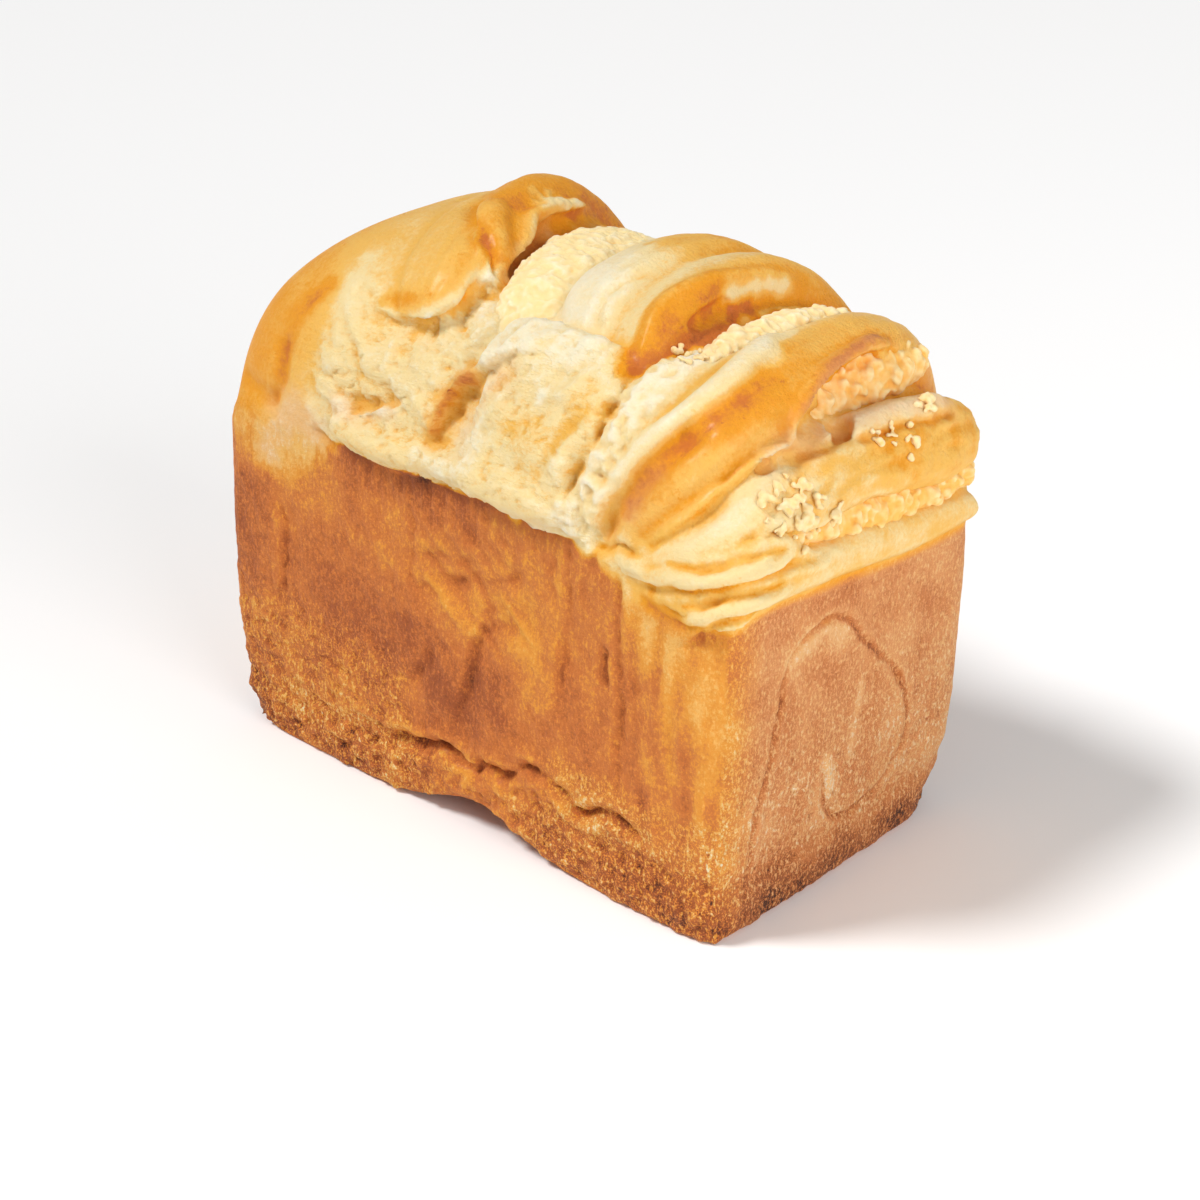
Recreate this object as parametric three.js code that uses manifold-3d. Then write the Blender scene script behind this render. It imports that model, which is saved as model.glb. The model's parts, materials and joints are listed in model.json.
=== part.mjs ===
// Tall pull-apart loaf baked in a tin: a straight-walled body, a crown of twisted dough folds
// and bands of crumbly coconut filling that show in the gaps between the folds.
// Sizes are millimetres, +Z is up, +X runs along the loaf, the origin is under the middle of the base.
import * as THREE from "three";
import { mergeVertices } from "three/addons/utils/BufferGeometryUtils.js";
import Module from "manifold-3d";

const wasm = await Module();
wasm.setup();

// Body that took the shape of the tin.
const LENGTH = 185;
const WIDTH = 106;
const WALL_TOP = 98;
const WALL_POWER = 18;
const BASE_ROUNDING = 2;
const COLLAR_HEIGHT = 17;
const COLLAR_SWELL = 0.6;
const CREASE_DEPTH = 0.8;
const CREASE_HALF = 3;
const WALL_SWELL = 1.2;
const WALL_TAPER = 1.5;

// Hollow under the front of the base, where the loaf lifted off the tin.
const ARCH_RISE = 9;
const ARCH_X = 7;
const ARCH_HALF = 21;
const ARCH_REACH = 42;

// Crown: a rounded-off box shape that the folds follow, and how far the plain dough lies below it.
const CROWN_HALF_LENGTH = 97.5;
const CROWN_HALF_WIDTH = 57;
const CROWN_RISE = 64;
const CROWN_TOP_PLAN_POWER = 3;
const CROWN_PLAN_EASE = 0.35;
const CROWN_END_DRAW = 1.35;
const CROWN_SIDE_POWER = 2.4;
const CROWN_TOP_POWER = 2.3;
const VALLEY_DROP = 8;
const DOME_FULL_X = -41;
const DOME_END_X = -9;
const DOME_START = 0.4;

// Clearance between the filling and the dough around it.
const GAP = 0.3;
const SMALLEST_DETAIL = 0.1;

// Facets of the body and of each fold.
const BODY_AROUND = 72;
const BODY_BASE_RINGS = 3;
const BODY_WALL_RINGS = 16;
const BODY_CROWN_RINGS = 14;
const END_SHARE = 0.4;
const WALL_RING_SPREAD = 1.2;
const RIDGE_HALF = 0.5;
const FOLD_AROUND = 16;
const FOLD_ALONG = 24;
const FILLING_AROUND = 12;
const FILLING_ALONG = 18;
const FOLD_SIDE_POWER = 0.8;
const FOLD_DEPTH_POWER = 0.9;
const FOLD_END_POWER = 5;

// Steps used to follow the crown, and the distance within which corners are one point.
const PATH_STEP = 0.01;
const SLOPE_STEP = 0.5;
const HALVINGS = 30;
const SAME_POINT = 1e-4;

// Folds that run over the crown from the front wall to the back wall. Lists are values from the
// front end of the fold to its back end: `along` is x, `wide` and `deep` are half sizes, `rise` lifts
// the fold off the crown, and `roll` in degrees below zero lifts the edge that faces +X.
const CROSS_FOLDS = {
  bulge: {
    over: [0.22, 0.86],
    along: [-22, -31, -39, -43],
    wide: [12, 15, 15, 12],
    deep: [6, 8, 8, 6],
    rise: [-3, 1.5, 2, 0],
    roll: [0],
  },
  crest: {
    over: [0.24, 0.98],
    along: [-6, -20, -33, -35, -28, -20],
    wide: [8, 11, 13, 13, 12, 9],
    deep: [6, 8, 9, 9, 8, 6],
    rise: [-4, 1, 6, 5, 3, 1],
    roll: [-10, -25, -30, -20, -10],
  },
  torn_side: {
    over: [0.02, 0.34],
    along: [-21, -20, -15],
    wide: [34, 30, 20],
    deep: [8, 8, 7],
    rise: [0, 0, -1],
    roll: [0],
    square: 0.5,
  },
  torn_flap: {
    over: [0.02, 0.31],
    along: [23, 25, 25],
    wide: [26, 26, 22],
    deep: [8, 8, 7],
    rise: [1, 2, 1.5],
    roll: [0],
    square: 0.5,
  },
  pair_left: {
    over: [0.27, 0.98],
    along: [29, 22, 22, 25, 29, 31],
    wide: [9, 12, 12, 12, 10, 8],
    deep: [6, 7, 8, 8, 7, 6],
    rise: [-3, 0, 2, 2, 1, 0],
    roll: [-5, -12, -12, -10],
  },
  pair_right: {
    over: [0.25, 0.98],
    along: [47, 41, 39, 42, 47, 51],
    wide: [8, 11, 12, 12, 10, 8],
    deep: [6, 8, 9, 9, 7, 6],
    rise: [-3, 0, 1.5, 1.5, 1, 0],
    roll: [-10, -25, -25, -15],
  },
  strip: {
    over: [0.03, 0.4],
    along: [48, 51, 57, 65],
    wide: [6, 7, 8, 7],
    deep: [6, 7, 7, 6],
    rise: [0, 0, -1, -3],
    roll: [0],
  },
  strap: {
    over: [0.02, 0.98],
    along: [56, 66, 76, 79, 79, 76, 72],
    wide: [8, 14, 16, 14, 13, 11, 9],
    deep: [6, 8, 9, 8, 8, 7, 6],
    rise: [0, 0, 1.5, 3, 3.5, 1, 0],
    roll: [-5, -12, -22, -25, -20, -10],
  },
};

// Folds that run round the sides of the crown. `turn` is the angle about +Z in degrees, `height` is z.
const ROUND_FOLDS = {
  corner_fold: {
    turn: [-44, 31.5],
    height: [102, 111, 121, 123, 120, 117],
    wide: [5, 7, 10, 11, 12, 10],
    deep: [5, 7, 8, 9, 9, 8],
    rise: [0, 1, 2, 3, 4, 5],
    roll: [0],
  },
  layer: {
    turn: [-41, -4],
    height: [106, 120, 131, 134],
    wide: [5, 6, 6, 5],
    deep: [5, 6, 6, 5],
    rise: [-1, 0, 0, -2],
    roll: [0],
  },
  end_fold: {
    turn: [-40, 28.5],
    height: [97, 102, 101, 98, 96],
    wide: [4, 5, 6, 6, 5],
    deep: [4, 5, 5, 5, 4],
    rise: [0, 1, 1, 1, 0.5],
    roll: [0],
  },
};

// Bands of filling, given the same ways.
const CROSS_FILLINGS = {
  coconut_filling_back: {
    over: [0.24, 0.9],
    along: [7, 5, 3, -1, -1],
    wide: [9, 12, 13, 13, 10],
    deep: [6, 8, 9, 8, 6],
    rise: [-3, -1, 0, -1, -2],
    roll: [0],
  },
  coconut_filling_middle: {
    over: [0.26, 0.9],
    along: [57, 59, 60, 61, 61],
    wide: [7, 9, 9, 9, 8],
    deep: [6, 8, 8, 8, 6],
    rise: [-3, 0, 0, -1, -3],
    roll: [0],
  },
};
const ROUND_FILLINGS = {
  coconut_filling_corner: {
    turn: [-11, 34],
    height: [134, 138, 137, 131],
    wide: [7, 9, 10, 8],
    deep: [7, 9, 9, 7],
    rise: [2, 4, 5, 4],
    roll: [0],
  },
  coconut_filling_end: {
    turn: [-26.5, 29.5],
    height: [115, 111, 107, 106],
    wide: [5, 6, 6, 5],
    deep: [5, 6, 6, 5],
    rise: [1, 2, 2.5, 2],
    roll: [0],
  },
};

// Roll line on the +X end face: points (y, z) of the groove where the dough sheet was rolled up.
const ROLL_LINE = [
  [-42, 14],
  [-41, 42],
  [-33, 71],
  [-20, 87],
  [-5, 83],
  [15, 62],
  [23, 46],
  [23, 31],
  [16, 20],
];
const ROLL_LINE_RADIUS = 1.3;
const ROLL_LINE_STEPS = 60;
const ROLL_LINE_SIDES = 6;

// Hollow at the left of the torn flap.
const HOLLOW_CENTRE = [4, -55, 127];
const HOLLOW_HALF = [7, 7, 10];
const HOLLOW_FACETS = 14;

const DOUGH_COLOUR = 0xd9923f;
const DOUGH_ROUGHNESS = 0.5;
const FILLING_COLOUR = 0xf0d596;
const FILLING_ROUGHNESS = 0.85;

const signedPower = (value, power) => Math.sign(value) * Math.abs(value) ** power;
const mix = THREE.MathUtils.lerp;
const ease = THREE.MathUtils.smoothstep;
const bell = (value, half) => Math.exp(-((value / half) ** 2));

// Smooth value at `t` between 0 and 1 along a list of evenly spaced values.
function along(list, t) {
  const last = list.length - 1;
  if (last === 0) return list[0];
  const place = Math.min(Math.max(t, 0), 1) * last;
  const first = Math.min(Math.floor(place), last - 1);
  const a = list[Math.max(first - 1, 0)];
  const b = list[first];
  const c = list[first + 1];
  const d = list[Math.min(first + 2, last)];
  const k = place - first;
  const start = (c - a) / 2;
  const end = (d - b) / 2;
  return (
    (2 * k ** 3 - 3 * k ** 2 + 1) * b +
    (k ** 3 - 2 * k ** 2 + k) * start +
    (3 * k ** 2 - 2 * k ** 3) * c +
    (k ** 3 - k ** 2) * end
  );
}

// How far the crown draws in at height z, for a crown of a given half width and rise.
function drawIn(z, halfWidth, rise) {
  const up = THREE.MathUtils.clamp((z - WALL_TOP) / rise, 0, 1);
  return halfWidth * (1 - (1 - up ** CROWN_TOP_POWER) ** (1 / CROWN_SIDE_POWER));
}

// How square the outline of the crown is at height z: boxy at the lip and rounder towards the top.
function planPower(z) {
  const up = THREE.MathUtils.clamp((z - WALL_TOP) / CROWN_RISE, 0, 1);
  return mix(WALL_POWER, CROWN_TOP_PLAN_POWER, up ** CROWN_PLAN_EASE);
}

// Below 1 inside the crown, above 1 outside it.
function crownLevel(x, y, z) {
  const inset = drawIn(z, CROWN_HALF_WIDTH, CROWN_RISE);
  const power = planPower(z);
  const endwise = Math.abs(x) / (CROWN_HALF_LENGTH - CROWN_END_DRAW * inset);
  const sidewise = Math.abs(y) / Math.max(CROWN_HALF_WIDTH - inset, RIDGE_HALF);
  return (endwise ** power + sidewise ** power) ** (1 / power);
}

// Point of the crown at length x, `over` from 0 at the front lip to 1 at the back lip.
function overCrown(x, over) {
  const left = 1 - (Math.abs(x) / CROWN_HALF_LENGTH) ** WALL_POWER;
  const reach = CROWN_HALF_WIDTH * left ** (1 / WALL_POWER);
  const y = -reach * signedPower(Math.cos(Math.PI * over), 2 / CROWN_SIDE_POWER);
  let low = WALL_TOP;
  let high = WALL_TOP + CROWN_RISE;
  for (let halving = 0; halving < HALVINGS; halving += 1) {
    const middle = (low + high) / 2;
    if (crownLevel(x, y, middle) < 1) low = middle;
    else high = middle;
  }
  return new THREE.Vector3(x, y, low);
}

// Point of the crown at height z, at an angle in degrees about +Z.
function roundCrown(z, degrees) {
  const angle = THREE.MathUtils.degToRad(degrees);
  const reach = 1 / crownLevel(Math.cos(angle), Math.sin(angle), z);
  return new THREE.Vector3(reach * Math.cos(angle), reach * Math.sin(angle), z);
}

// Direction straight out of the crown at a point.
function outOfCrown(point) {
  const step = SLOPE_STEP;
  const { x, y } = point;
  const z = Math.max(point.z, WALL_TOP);
  return new THREE.Vector3(
    crownLevel(x + step, y, z) - crownLevel(x - step, y, z),
    crownLevel(x, y + step, z) - crownLevel(x, y - step, z),
    crownLevel(x, y, z + step) - crownLevel(x, y, z - step),
  ).normalize();
}

// Path of a fold on the crown, at t between 0 and 1.
function foldPath(fold, t) {
  if (fold.over) return overCrown(along(fold.along, t), mix(fold.over[0], fold.over[1], t));
  return roundCrown(along(fold.height, t), mix(fold.turn[0], fold.turn[1], t));
}

// Reshape a sphere by a function of its two surface positions, both from 0 to 1.
function reshape(around, rings, place) {
  const shape = new THREE.SphereGeometry(1, around, rings);
  const positions = shape.attributes.position;
  const turns = shape.attributes.uv;
  for (let i = 0; i < positions.count; i += 1) {
    const ring = Math.round((1 - turns.getY(i)) * rings) / rings;
    const point = place(turns.getX(i), ring);
    positions.setXYZ(i, point.x, point.y, point.z);
  }
  return shape;
}

// A rounded strap of dough or filling laid along its path, made larger all round by `grow`.
function foldShape(fold, grow, around = FOLD_AROUND, rings = FOLD_ALONG) {
  return reshape(around, rings, (turn, t) => {
    const point = foldPath(fold, t);
    const ahead = foldPath(fold, Math.min(t + PATH_STEP, 1));
    const behind = foldPath(fold, Math.max(t - PATH_STEP, 0));
    const way = ahead.sub(behind).normalize();
    const side = way.clone().cross(outOfCrown(point)).normalize();
    const out = side.clone().cross(way);
    const roll = THREE.MathUtils.degToRad(along(fold.roll, t));
    const tiltedOut = out.clone().multiplyScalar(Math.cos(roll)).addScaledVector(side, Math.sin(roll));
    const tiltedSide = side.clone().multiplyScalar(Math.cos(roll)).addScaledVector(out, -Math.sin(roll));
    const deep = along(fold.deep, t);
    const round = Math.max(1 - Math.abs(2 * t - 1) ** FOLD_END_POWER, 0) ** (1 / FOLD_END_POWER);
    const angle = 2 * Math.PI * turn;
    const square = fold.square ?? FOLD_SIDE_POWER;
    const across = (along(fold.wide, t) + grow) * round * signedPower(Math.cos(angle), square);
    const up = (deep + grow) * round * signedPower(Math.sin(angle), FOLD_DEPTH_POWER);
    return point
      .addScaledVector(out, along(fold.rise, t) - deep)
      .addScaledVector(way, grow * (2 * t - 1))
      .addScaledVector(tiltedSide, across)
      .addScaledVector(tiltedOut, up);
  });
}

// Lift of the base over the hollow under its front.
function archLift(x, y) {
  const front = ease(-y, WIDTH / 2 - ARCH_REACH, WIDTH / 2);
  return ARCH_RISE * bell(x - ARCH_X, ARCH_HALF) * front;
}

// Point of a rounded rectangle at a turn between 0 and 1, with the points closer near its corners.
function outline(turn, halfLength, halfWidth, power) {
  const place = 2 * (turn - Math.floor(turn));
  const half = Math.floor(place);
  const part = place - half;
  const atEnd = part < END_SHARE;
  const share = atEnd ? part / END_SHARE : (part - END_SHARE) / (1 - END_SHARE);
  const side = -Math.cos(Math.PI * share);
  const x = atEnd ? halfLength : -side * halfLength;
  const y = atEnd ? side * halfWidth : halfWidth;
  const sum = (Math.abs(x) / halfLength) ** power + (Math.abs(y) / halfWidth) ** power;
  const shrink = (half === 0 ? 1 : -1) * sum ** (-1 / power);
  return [x * shrink, y * shrink];
}

// How far the wall stands out past the size of the base at height z.
function wallOut(z) {
  const corner = Math.max(1 - z / BASE_ROUNDING, 0);
  return (
    (WALL_TAPER * z) / WALL_TOP +
    WALL_SWELL * Math.sin((Math.PI * z) / WALL_TOP) +
    COLLAR_SWELL * bell(z - COLLAR_HEIGHT / 2, COLLAR_HEIGHT / 2) -
    CREASE_DEPTH * bell(z - COLLAR_HEIGHT, CREASE_HALF) -
    BASE_ROUNDING * (1 - Math.sqrt(1 - corner ** 2))
  );
}

// Ring of the crown, `up` from 0 at the lip to 1 at the top, for a crown of given sizes.
function crownRing(turn, up, halfLength, halfWidth, rise) {
  const z = WALL_TOP + rise * Math.sin((up * Math.PI) / 2) ** (2 / CROWN_TOP_POWER);
  const inset = drawIn(z, halfWidth, rise);
  const reach = Math.max(halfWidth - inset, RIDGE_HALF);
  const [x, y] = outline(turn, halfLength - CROWN_END_DRAW * inset, reach, planPower(z));
  return new THREE.Vector3(x, y, z);
}

// The plain body: base, walls, the smooth dome at the -X end and the dough under the folds.
function bodyShape() {
  const rings = BODY_BASE_RINGS + BODY_WALL_RINGS + BODY_CROWN_RINGS;
  const lip = wallOut(WALL_TOP);
  return reshape(BODY_AROUND, rings, (turn, t) => {
    const ring = Math.round(t * rings);
    if (ring > BODY_BASE_RINGS + BODY_WALL_RINGS) {
      const up = (ring - BODY_BASE_RINGS - BODY_WALL_RINGS) / BODY_CROWN_RINGS;
      const low = crownRing(turn, up, LENGTH / 2 + lip, WIDTH / 2 + lip, CROWN_RISE - VALLEY_DROP);
      const full = crownRing(turn, up, CROWN_HALF_LENGTH, CROWN_HALF_WIDTH, CROWN_RISE);
      if (ring === rings) return low.setX(0).setY(0);
      const dome = (1 - ease(low.x, DOME_FULL_X, DOME_END_X)) * ease(up, 0, DOME_START);
      return low.lerp(full, dome);
    }
    const wall = Math.max(ring - BODY_BASE_RINGS, 0) / BODY_WALL_RINGS;
    const z = WALL_TOP * wall ** WALL_RING_SPREAD;
    const size = Math.min(ring / BODY_BASE_RINGS, 1);
    const [x, y] = outline(turn, LENGTH / 2 + wallOut(z), WIDTH / 2 + wallOut(z), WALL_POWER);
    const fade = 1 - ease(z, 0, 2 * COLLAR_HEIGHT);
    return new THREE.Vector3(x * size, y * size, z + archLift(x * size, y * size) * fade);
  });
}

// A closed solid from a geometry.
function solid(shape) {
  const bare = new THREE.BufferGeometry();
  bare.setAttribute("position", shape.attributes.position);
  bare.setIndex(shape.index);
  const merged = mergeVertices(bare, SAME_POINT);
  const build = (triVerts) =>
    new wasm.Manifold(
      new wasm.Mesh({ numProp: 3, vertProperties: merged.attributes.position.array, triVerts }),
    );
  const corners = new Uint32Array(merged.index.array);
  const made = build(corners);
  if (made.volume() > 0) return made;
  return build(corners.slice().reverse());
}

// The largest body of a solid: loose scraps go and sealed pockets are filled.
function largest(made) {
  return made.decompose().reduce((a, b) => (a.volume() >= b.volume() ? a : b));
}

// A named piece of the loaf.
function named(name, made, colour, roughness) {
  const mesh = made.getMesh();
  const shape = new THREE.BufferGeometry();
  shape.setAttribute("position", new THREE.BufferAttribute(mesh.vertProperties, 3));
  shape.setIndex(new THREE.BufferAttribute(mesh.triVerts, 1));
  shape.computeVertexNormals();
  const material = new THREE.MeshStandardMaterial({ color: colour, roughness, metalness: 0 });
  const node = new THREE.Mesh(shape, material);
  node.name = name;
  return node;
}

const folds = Object.values({ ...CROSS_FOLDS, ...ROUND_FOLDS });
const fillings = { ...CROSS_FILLINGS, ...ROUND_FILLINGS };
const group = new THREE.Group();
group.name = "coconut_loaf";

let body = solid(bodyShape());
const dough = folds.map((fold) => solid(foldShape(fold, 0))).reduce((a, b) => a.add(b));
let taken = folds.map((fold) => solid(foldShape(fold, GAP))).reduce((a, b) => a.add(b));
for (const [name, filling] of Object.entries(fillings)) {
  const band = solid(foldShape(filling, 0, FILLING_AROUND, FILLING_ALONG));
  const bed = solid(foldShape(filling, GAP, FILLING_AROUND, FILLING_ALONG));
  const shown = largest(band.subtract(taken).simplify(SMALLEST_DETAIL));
  body = body.subtract(bed);
  taken = taken.add(bed);
  group.add(named(name, shown, FILLING_COLOUR, FILLING_ROUGHNESS));
}

const rollPath = new THREE.CatmullRomCurve3(
  ROLL_LINE.map(([y, z]) => new THREE.Vector3(LENGTH / 2 + wallOut(z), y, z)),
);
const rollSection = new THREE.Shape(
  Array.from({ length: ROLL_LINE_SIDES }, (_, i) => {
    const angle = (2 * Math.PI * i) / ROLL_LINE_SIDES;
    return new THREE.Vector2(ROLL_LINE_RADIUS * Math.cos(angle), ROLL_LINE_RADIUS * Math.sin(angle));
  }),
);
const rollGroove = new THREE.ExtrudeGeometry(rollSection, {
  steps: ROLL_LINE_STEPS,
  extrudePath: rollPath,
});
const hollow = new THREE.SphereGeometry(1, HOLLOW_FACETS, HOLLOW_FACETS)
  .scale(...HOLLOW_HALF)
  .translate(...HOLLOW_CENTRE);

const joined = body.add(dough).subtract(solid(rollGroove)).subtract(solid(hollow));
const loaf = largest(joined.simplify(SMALLEST_DETAIL));
group.add(named("loaf", loaf, DOUGH_COLOUR, DOUGH_ROUGHNESS));

// The origin lies under the middle of the whole loaf.
const middle = new THREE.Box3().setFromObject(group).getCenter(new THREE.Vector3());
for (const node of group.children) node.geometry.translate(-middle.x, -middle.y, 0);

export default group;
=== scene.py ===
# %% [markdown]
# # A tall coconut pull-apart loaf
# The loaf was baked in a tin, so its walls are flat and brown, while the crown above the tin is a
# heap of twisted dough straps with crumbly coconut filling between them. This lesson rebuilds it as a
# fine mesh over the measured solids, then gives the dough its bake colours, its gloss and its crumbs.

# %% Load the measured solids
import json
import math

import bpy
import numpy as np
from mathutils import Matrix, Vector
from mathutils.bvhtree import BVHTree

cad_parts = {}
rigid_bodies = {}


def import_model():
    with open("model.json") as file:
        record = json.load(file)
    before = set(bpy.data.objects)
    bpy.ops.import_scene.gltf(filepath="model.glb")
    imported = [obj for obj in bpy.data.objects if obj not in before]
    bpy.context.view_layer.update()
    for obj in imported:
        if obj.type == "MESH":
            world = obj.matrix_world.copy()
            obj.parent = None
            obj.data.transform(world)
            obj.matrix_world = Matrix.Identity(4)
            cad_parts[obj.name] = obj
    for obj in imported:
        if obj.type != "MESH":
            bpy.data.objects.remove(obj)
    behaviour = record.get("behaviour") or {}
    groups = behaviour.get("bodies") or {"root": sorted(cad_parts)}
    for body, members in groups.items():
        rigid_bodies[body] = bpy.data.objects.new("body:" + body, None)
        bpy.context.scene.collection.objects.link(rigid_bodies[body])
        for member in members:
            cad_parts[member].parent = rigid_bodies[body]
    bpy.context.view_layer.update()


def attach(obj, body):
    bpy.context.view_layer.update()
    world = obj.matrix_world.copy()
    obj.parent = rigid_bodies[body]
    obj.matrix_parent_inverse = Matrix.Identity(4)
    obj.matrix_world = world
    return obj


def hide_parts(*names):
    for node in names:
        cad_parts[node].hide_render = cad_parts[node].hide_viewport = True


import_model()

# %% [markdown]
# ## Sizes of the loaf
# The solids were worked out from these sizes, so the fine mesh starts from the same ones. Everything
# here is in millimetres, with x along the loaf, y from the front wall to the back wall and z up.

# %% Sizes of the body and the crown
MILLIMETRE = 0.001
MIDDLE_X = 2.59
MIDDLE_Y = -0.19

LENGTH = 185
WIDTH = 106
WALL_TOP = 98
WALL_POWER = 18
BASE_ROUNDING = 2
COLLAR_HEIGHT = 17
COLLAR_SWELL = 0.6
CREASE_DEPTH = 0.8
CREASE_HALF = 3
WALL_SWELL = 1.2
WALL_TAPER = 1.5

ARCH_RISE = 9
ARCH_X = 7
ARCH_HALF = 21
ARCH_REACH = 42

CROWN_HALF_LENGTH = 97.5
CROWN_HALF_WIDTH = 57
CROWN_RISE = 64
CROWN_TOP_PLAN_POWER = 3
CROWN_PLAN_EASE = 0.35
CROWN_END_DRAW = 1.35
CROWN_SIDE_POWER = 2.4
CROWN_TOP_POWER = 2.3
VALLEY_DROP = 8
DOME_FULL_X = -41
DOME_END_X = -9
DOME_START = 0.4
RIDGE_HALF = 0.5
END_SHARE = 0.4
print("body", LENGTH, "x", WIDTH, "mm, crown top at", WALL_TOP + CROWN_RISE, "mm")

# %% [markdown]
# ## Straps of dough
# Each strap is laid over the crown like a belt. Its lists run from one end to the other: where it
# lies, how wide and deep it is (half sizes), how far it rises off the crown and how far it rolls to
# one side. A strap given by `over` crosses the crown from the front wall to the back wall, and one
# given by `turn` goes round the side of the crown at a height.

# %% Where the straps lie
FOLDS = {
    "bulge": dict(
        over=(0.23, 0.86), along=[-24, -32, -41, -45], wide=[14, 16, 15, 12], deep=[8, 9, 8, 6],
        rise=[2.5, 2.5, 2, 0], roll=[-8, -5, 0],
    ),
    "crest": dict(
        over=(0.33, 0.98), along=[-13, -30, -39, -39, -32, -23], wide=[7, 9, 12, 13, 12, 9],
        deep=[6, 7, 8, 9, 8, 6], rise=[0.5, 3.5, 4.5, 3, 1.5, 0.5], roll=[-20, -35, -35, -22, -10],
    ),
    "torn_side": dict(
        over=(0.02, 0.34), along=[-21, -20, -15], wide=[34, 32, 24], deep=[8, 8, 7],
        rise=[0.5, -2, -5], roll=[0], square=0.5,
    ),
    "torn_flap": dict(
        over=(0.02, 0.31), along=[23, 25, 25], wide=[26, 26, 22], deep=[8, 8, 7],
        rise=[1, 2, 1.5], roll=[0], square=0.5,
    ),
    "pair_left": dict(
        over=(0.27, 0.98), along=[29, 22, 22, 25, 29, 31], wide=[9, 12, 12, 12, 10, 8],
        deep=[6, 7, 8, 8, 7, 6], rise=[-3, 0, 2, 2, 1, 0], roll=[-5, -12, -12, -10],
    ),
    "pair_right": dict(
        over=(0.25, 0.98), along=[47, 41, 39, 42, 47, 51], wide=[8, 11, 12, 12, 10, 8],
        deep=[6, 8, 9, 9, 7, 6], rise=[-3, 0, 1.5, 1.5, 1, 0], roll=[-10, -25, -25, -15],
    ),
    "strip": dict(
        over=(0.03, 0.4), along=[48, 51, 57, 65], wide=[6, 7, 8, 7], deep=[6, 7, 7, 6],
        rise=[0, 0, -1, -3], roll=[0],
    ),
    "strap": dict(
        over=(0.02, 0.98), along=[56, 66, 75, 76, 75, 74, 72], wide=[8, 14, 14, 11, 9.5, 9, 8],
        deep=[6, 8, 9, 8, 8, 7, 6], rise=[0, 0, 1.5, 3, 3.5, 1, 0], roll=[-5, -12, -22, -25, -20, -10],
    ),
    "corner_fold": dict(
        turn=(-44, 31.5), height=[102, 111, 121, 123, 120, 117], wide=[5, 7, 10, 11, 12, 10],
        deep=[5, 7, 8, 9, 9, 8], rise=[0, 1, 2, 3, 4, 5], roll=[0],
    ),
    "layer": dict(
        turn=(-41, -4), height=[106, 120, 131, 134], wide=[5, 6, 6, 5], deep=[5, 6, 6, 5],
        rise=[-1, 0, 0, -2], roll=[0],
    ),
    "end_fold": dict(
        turn=(-40, 28.5), height=[97, 102, 101, 98, 96], wide=[4, 5, 6, 6, 5], deep=[4, 5, 5, 5, 4],
        rise=[0, 1, 1, 1, 0.5], roll=[0],
    ),
}
FILLINGS = {
    "coconut_filling_back": dict(
        over=(0.24, 0.9), along=[5, 2, -2, -5, -4], wide=[10, 14, 17, 16, 11], deep=[6, 8, 9, 8, 6],
        rise=[-3, -2.2, -2.4, -2.6, -2.6], roll=[8, 6, 4, 2],
    ),
    "coconut_filling_middle": dict(
        over=(0.26, 0.9), along=[59, 63, 64.5, 64, 63], wide=[5, 7, 7, 7, 7], deep=[6, 8, 8, 8, 6],
        rise=[-3.5, -1.4, -1.4, -1.8, -3.5], roll=[0],
    ),
    "coconut_filling_corner": dict(
        turn=(-7, 34), height=[138, 142, 142, 136], wide=[6, 10.5, 11, 9], deep=[6, 9, 9, 7],
        rise=[-4, -0.5, 3.5, 5], roll=[0],
    ),
    "coconut_filling_end": dict(
        turn=(-26.5, 29.5), height=[115, 111, 107, 106], wide=[5, 6, 6, 5], deep=[5, 6, 6, 5],
        rise=[-0.8, 0.6, 1, 1], roll=[0],
    ),
}
print("straps of dough:", len(FOLDS), "bands of filling:", len(FILLINGS))

# %% [markdown]
# ## The shape of the crown
# All straps follow one smooth crown, a rounded box that draws in towards the top. These helpers find
# a point on it and the direction straight out of it. They take whole arrays, because numpy works on a
# hundred thousand points at once where a Python loop would take minutes.

# %% Helpers for smooth values
FOLD_SIDE_POWER = 0.8
FOLD_DEPTH_POWER = 0.9
FOLD_END_POWER = 5
PATH_STEP = 0.01
SLOPE_STEP = 0.5
HALVINGS = 30


def signed_power(value, power):
    """A power that keeps the sign of the value."""
    return np.sign(value) * np.abs(value) ** power


def ease(value, low, high):
    """0 below `low`, 1 above `high`, and a smooth S between them."""
    share = np.clip((value - low) / (high - low), 0, 1)
    return share * share * (3 - 2 * share)


def bell(value, half):
    """1 at zero, falling away smoothly within about `half` on each side."""
    return np.exp(-((value / half) ** 2))


def unit(vectors):
    """Vectors of length 1 in the same directions."""
    return vectors / np.maximum(np.linalg.norm(vectors, axis=-1, keepdims=True), 1e-9)


def along(values, t):
    """Smooth value at t between 0 and 1 along a list of evenly spaced values."""
    values = np.asarray(values, float)
    last = len(values) - 1
    if last == 0:
        return np.full(np.shape(t), values[0])
    place = np.clip(t, 0, 1) * last
    first = np.minimum(place.astype(int), last - 1)
    before = values[np.maximum(first - 1, 0)]
    start = values[first]
    end = values[first + 1]
    after = values[np.minimum(first + 2, last)]
    k = place - first
    start_slope = (end - before) / 2
    end_slope = (after - start) / 2
    smooth = (2 * k**3 - 3 * k**2 + 1) * start + (k**3 - 2 * k**2 + k) * start_slope
    return smooth + (3 * k**2 - 2 * k**3) * end + (k**3 - k**2) * end_slope


# %% Points on the crown
def draw_in(z, half_width, rise):
    """How far the crown draws in at height z."""
    up = np.clip((z - WALL_TOP) / rise, 0, 1)
    return half_width * (1 - (1 - up**CROWN_TOP_POWER) ** (1 / CROWN_SIDE_POWER))


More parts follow.
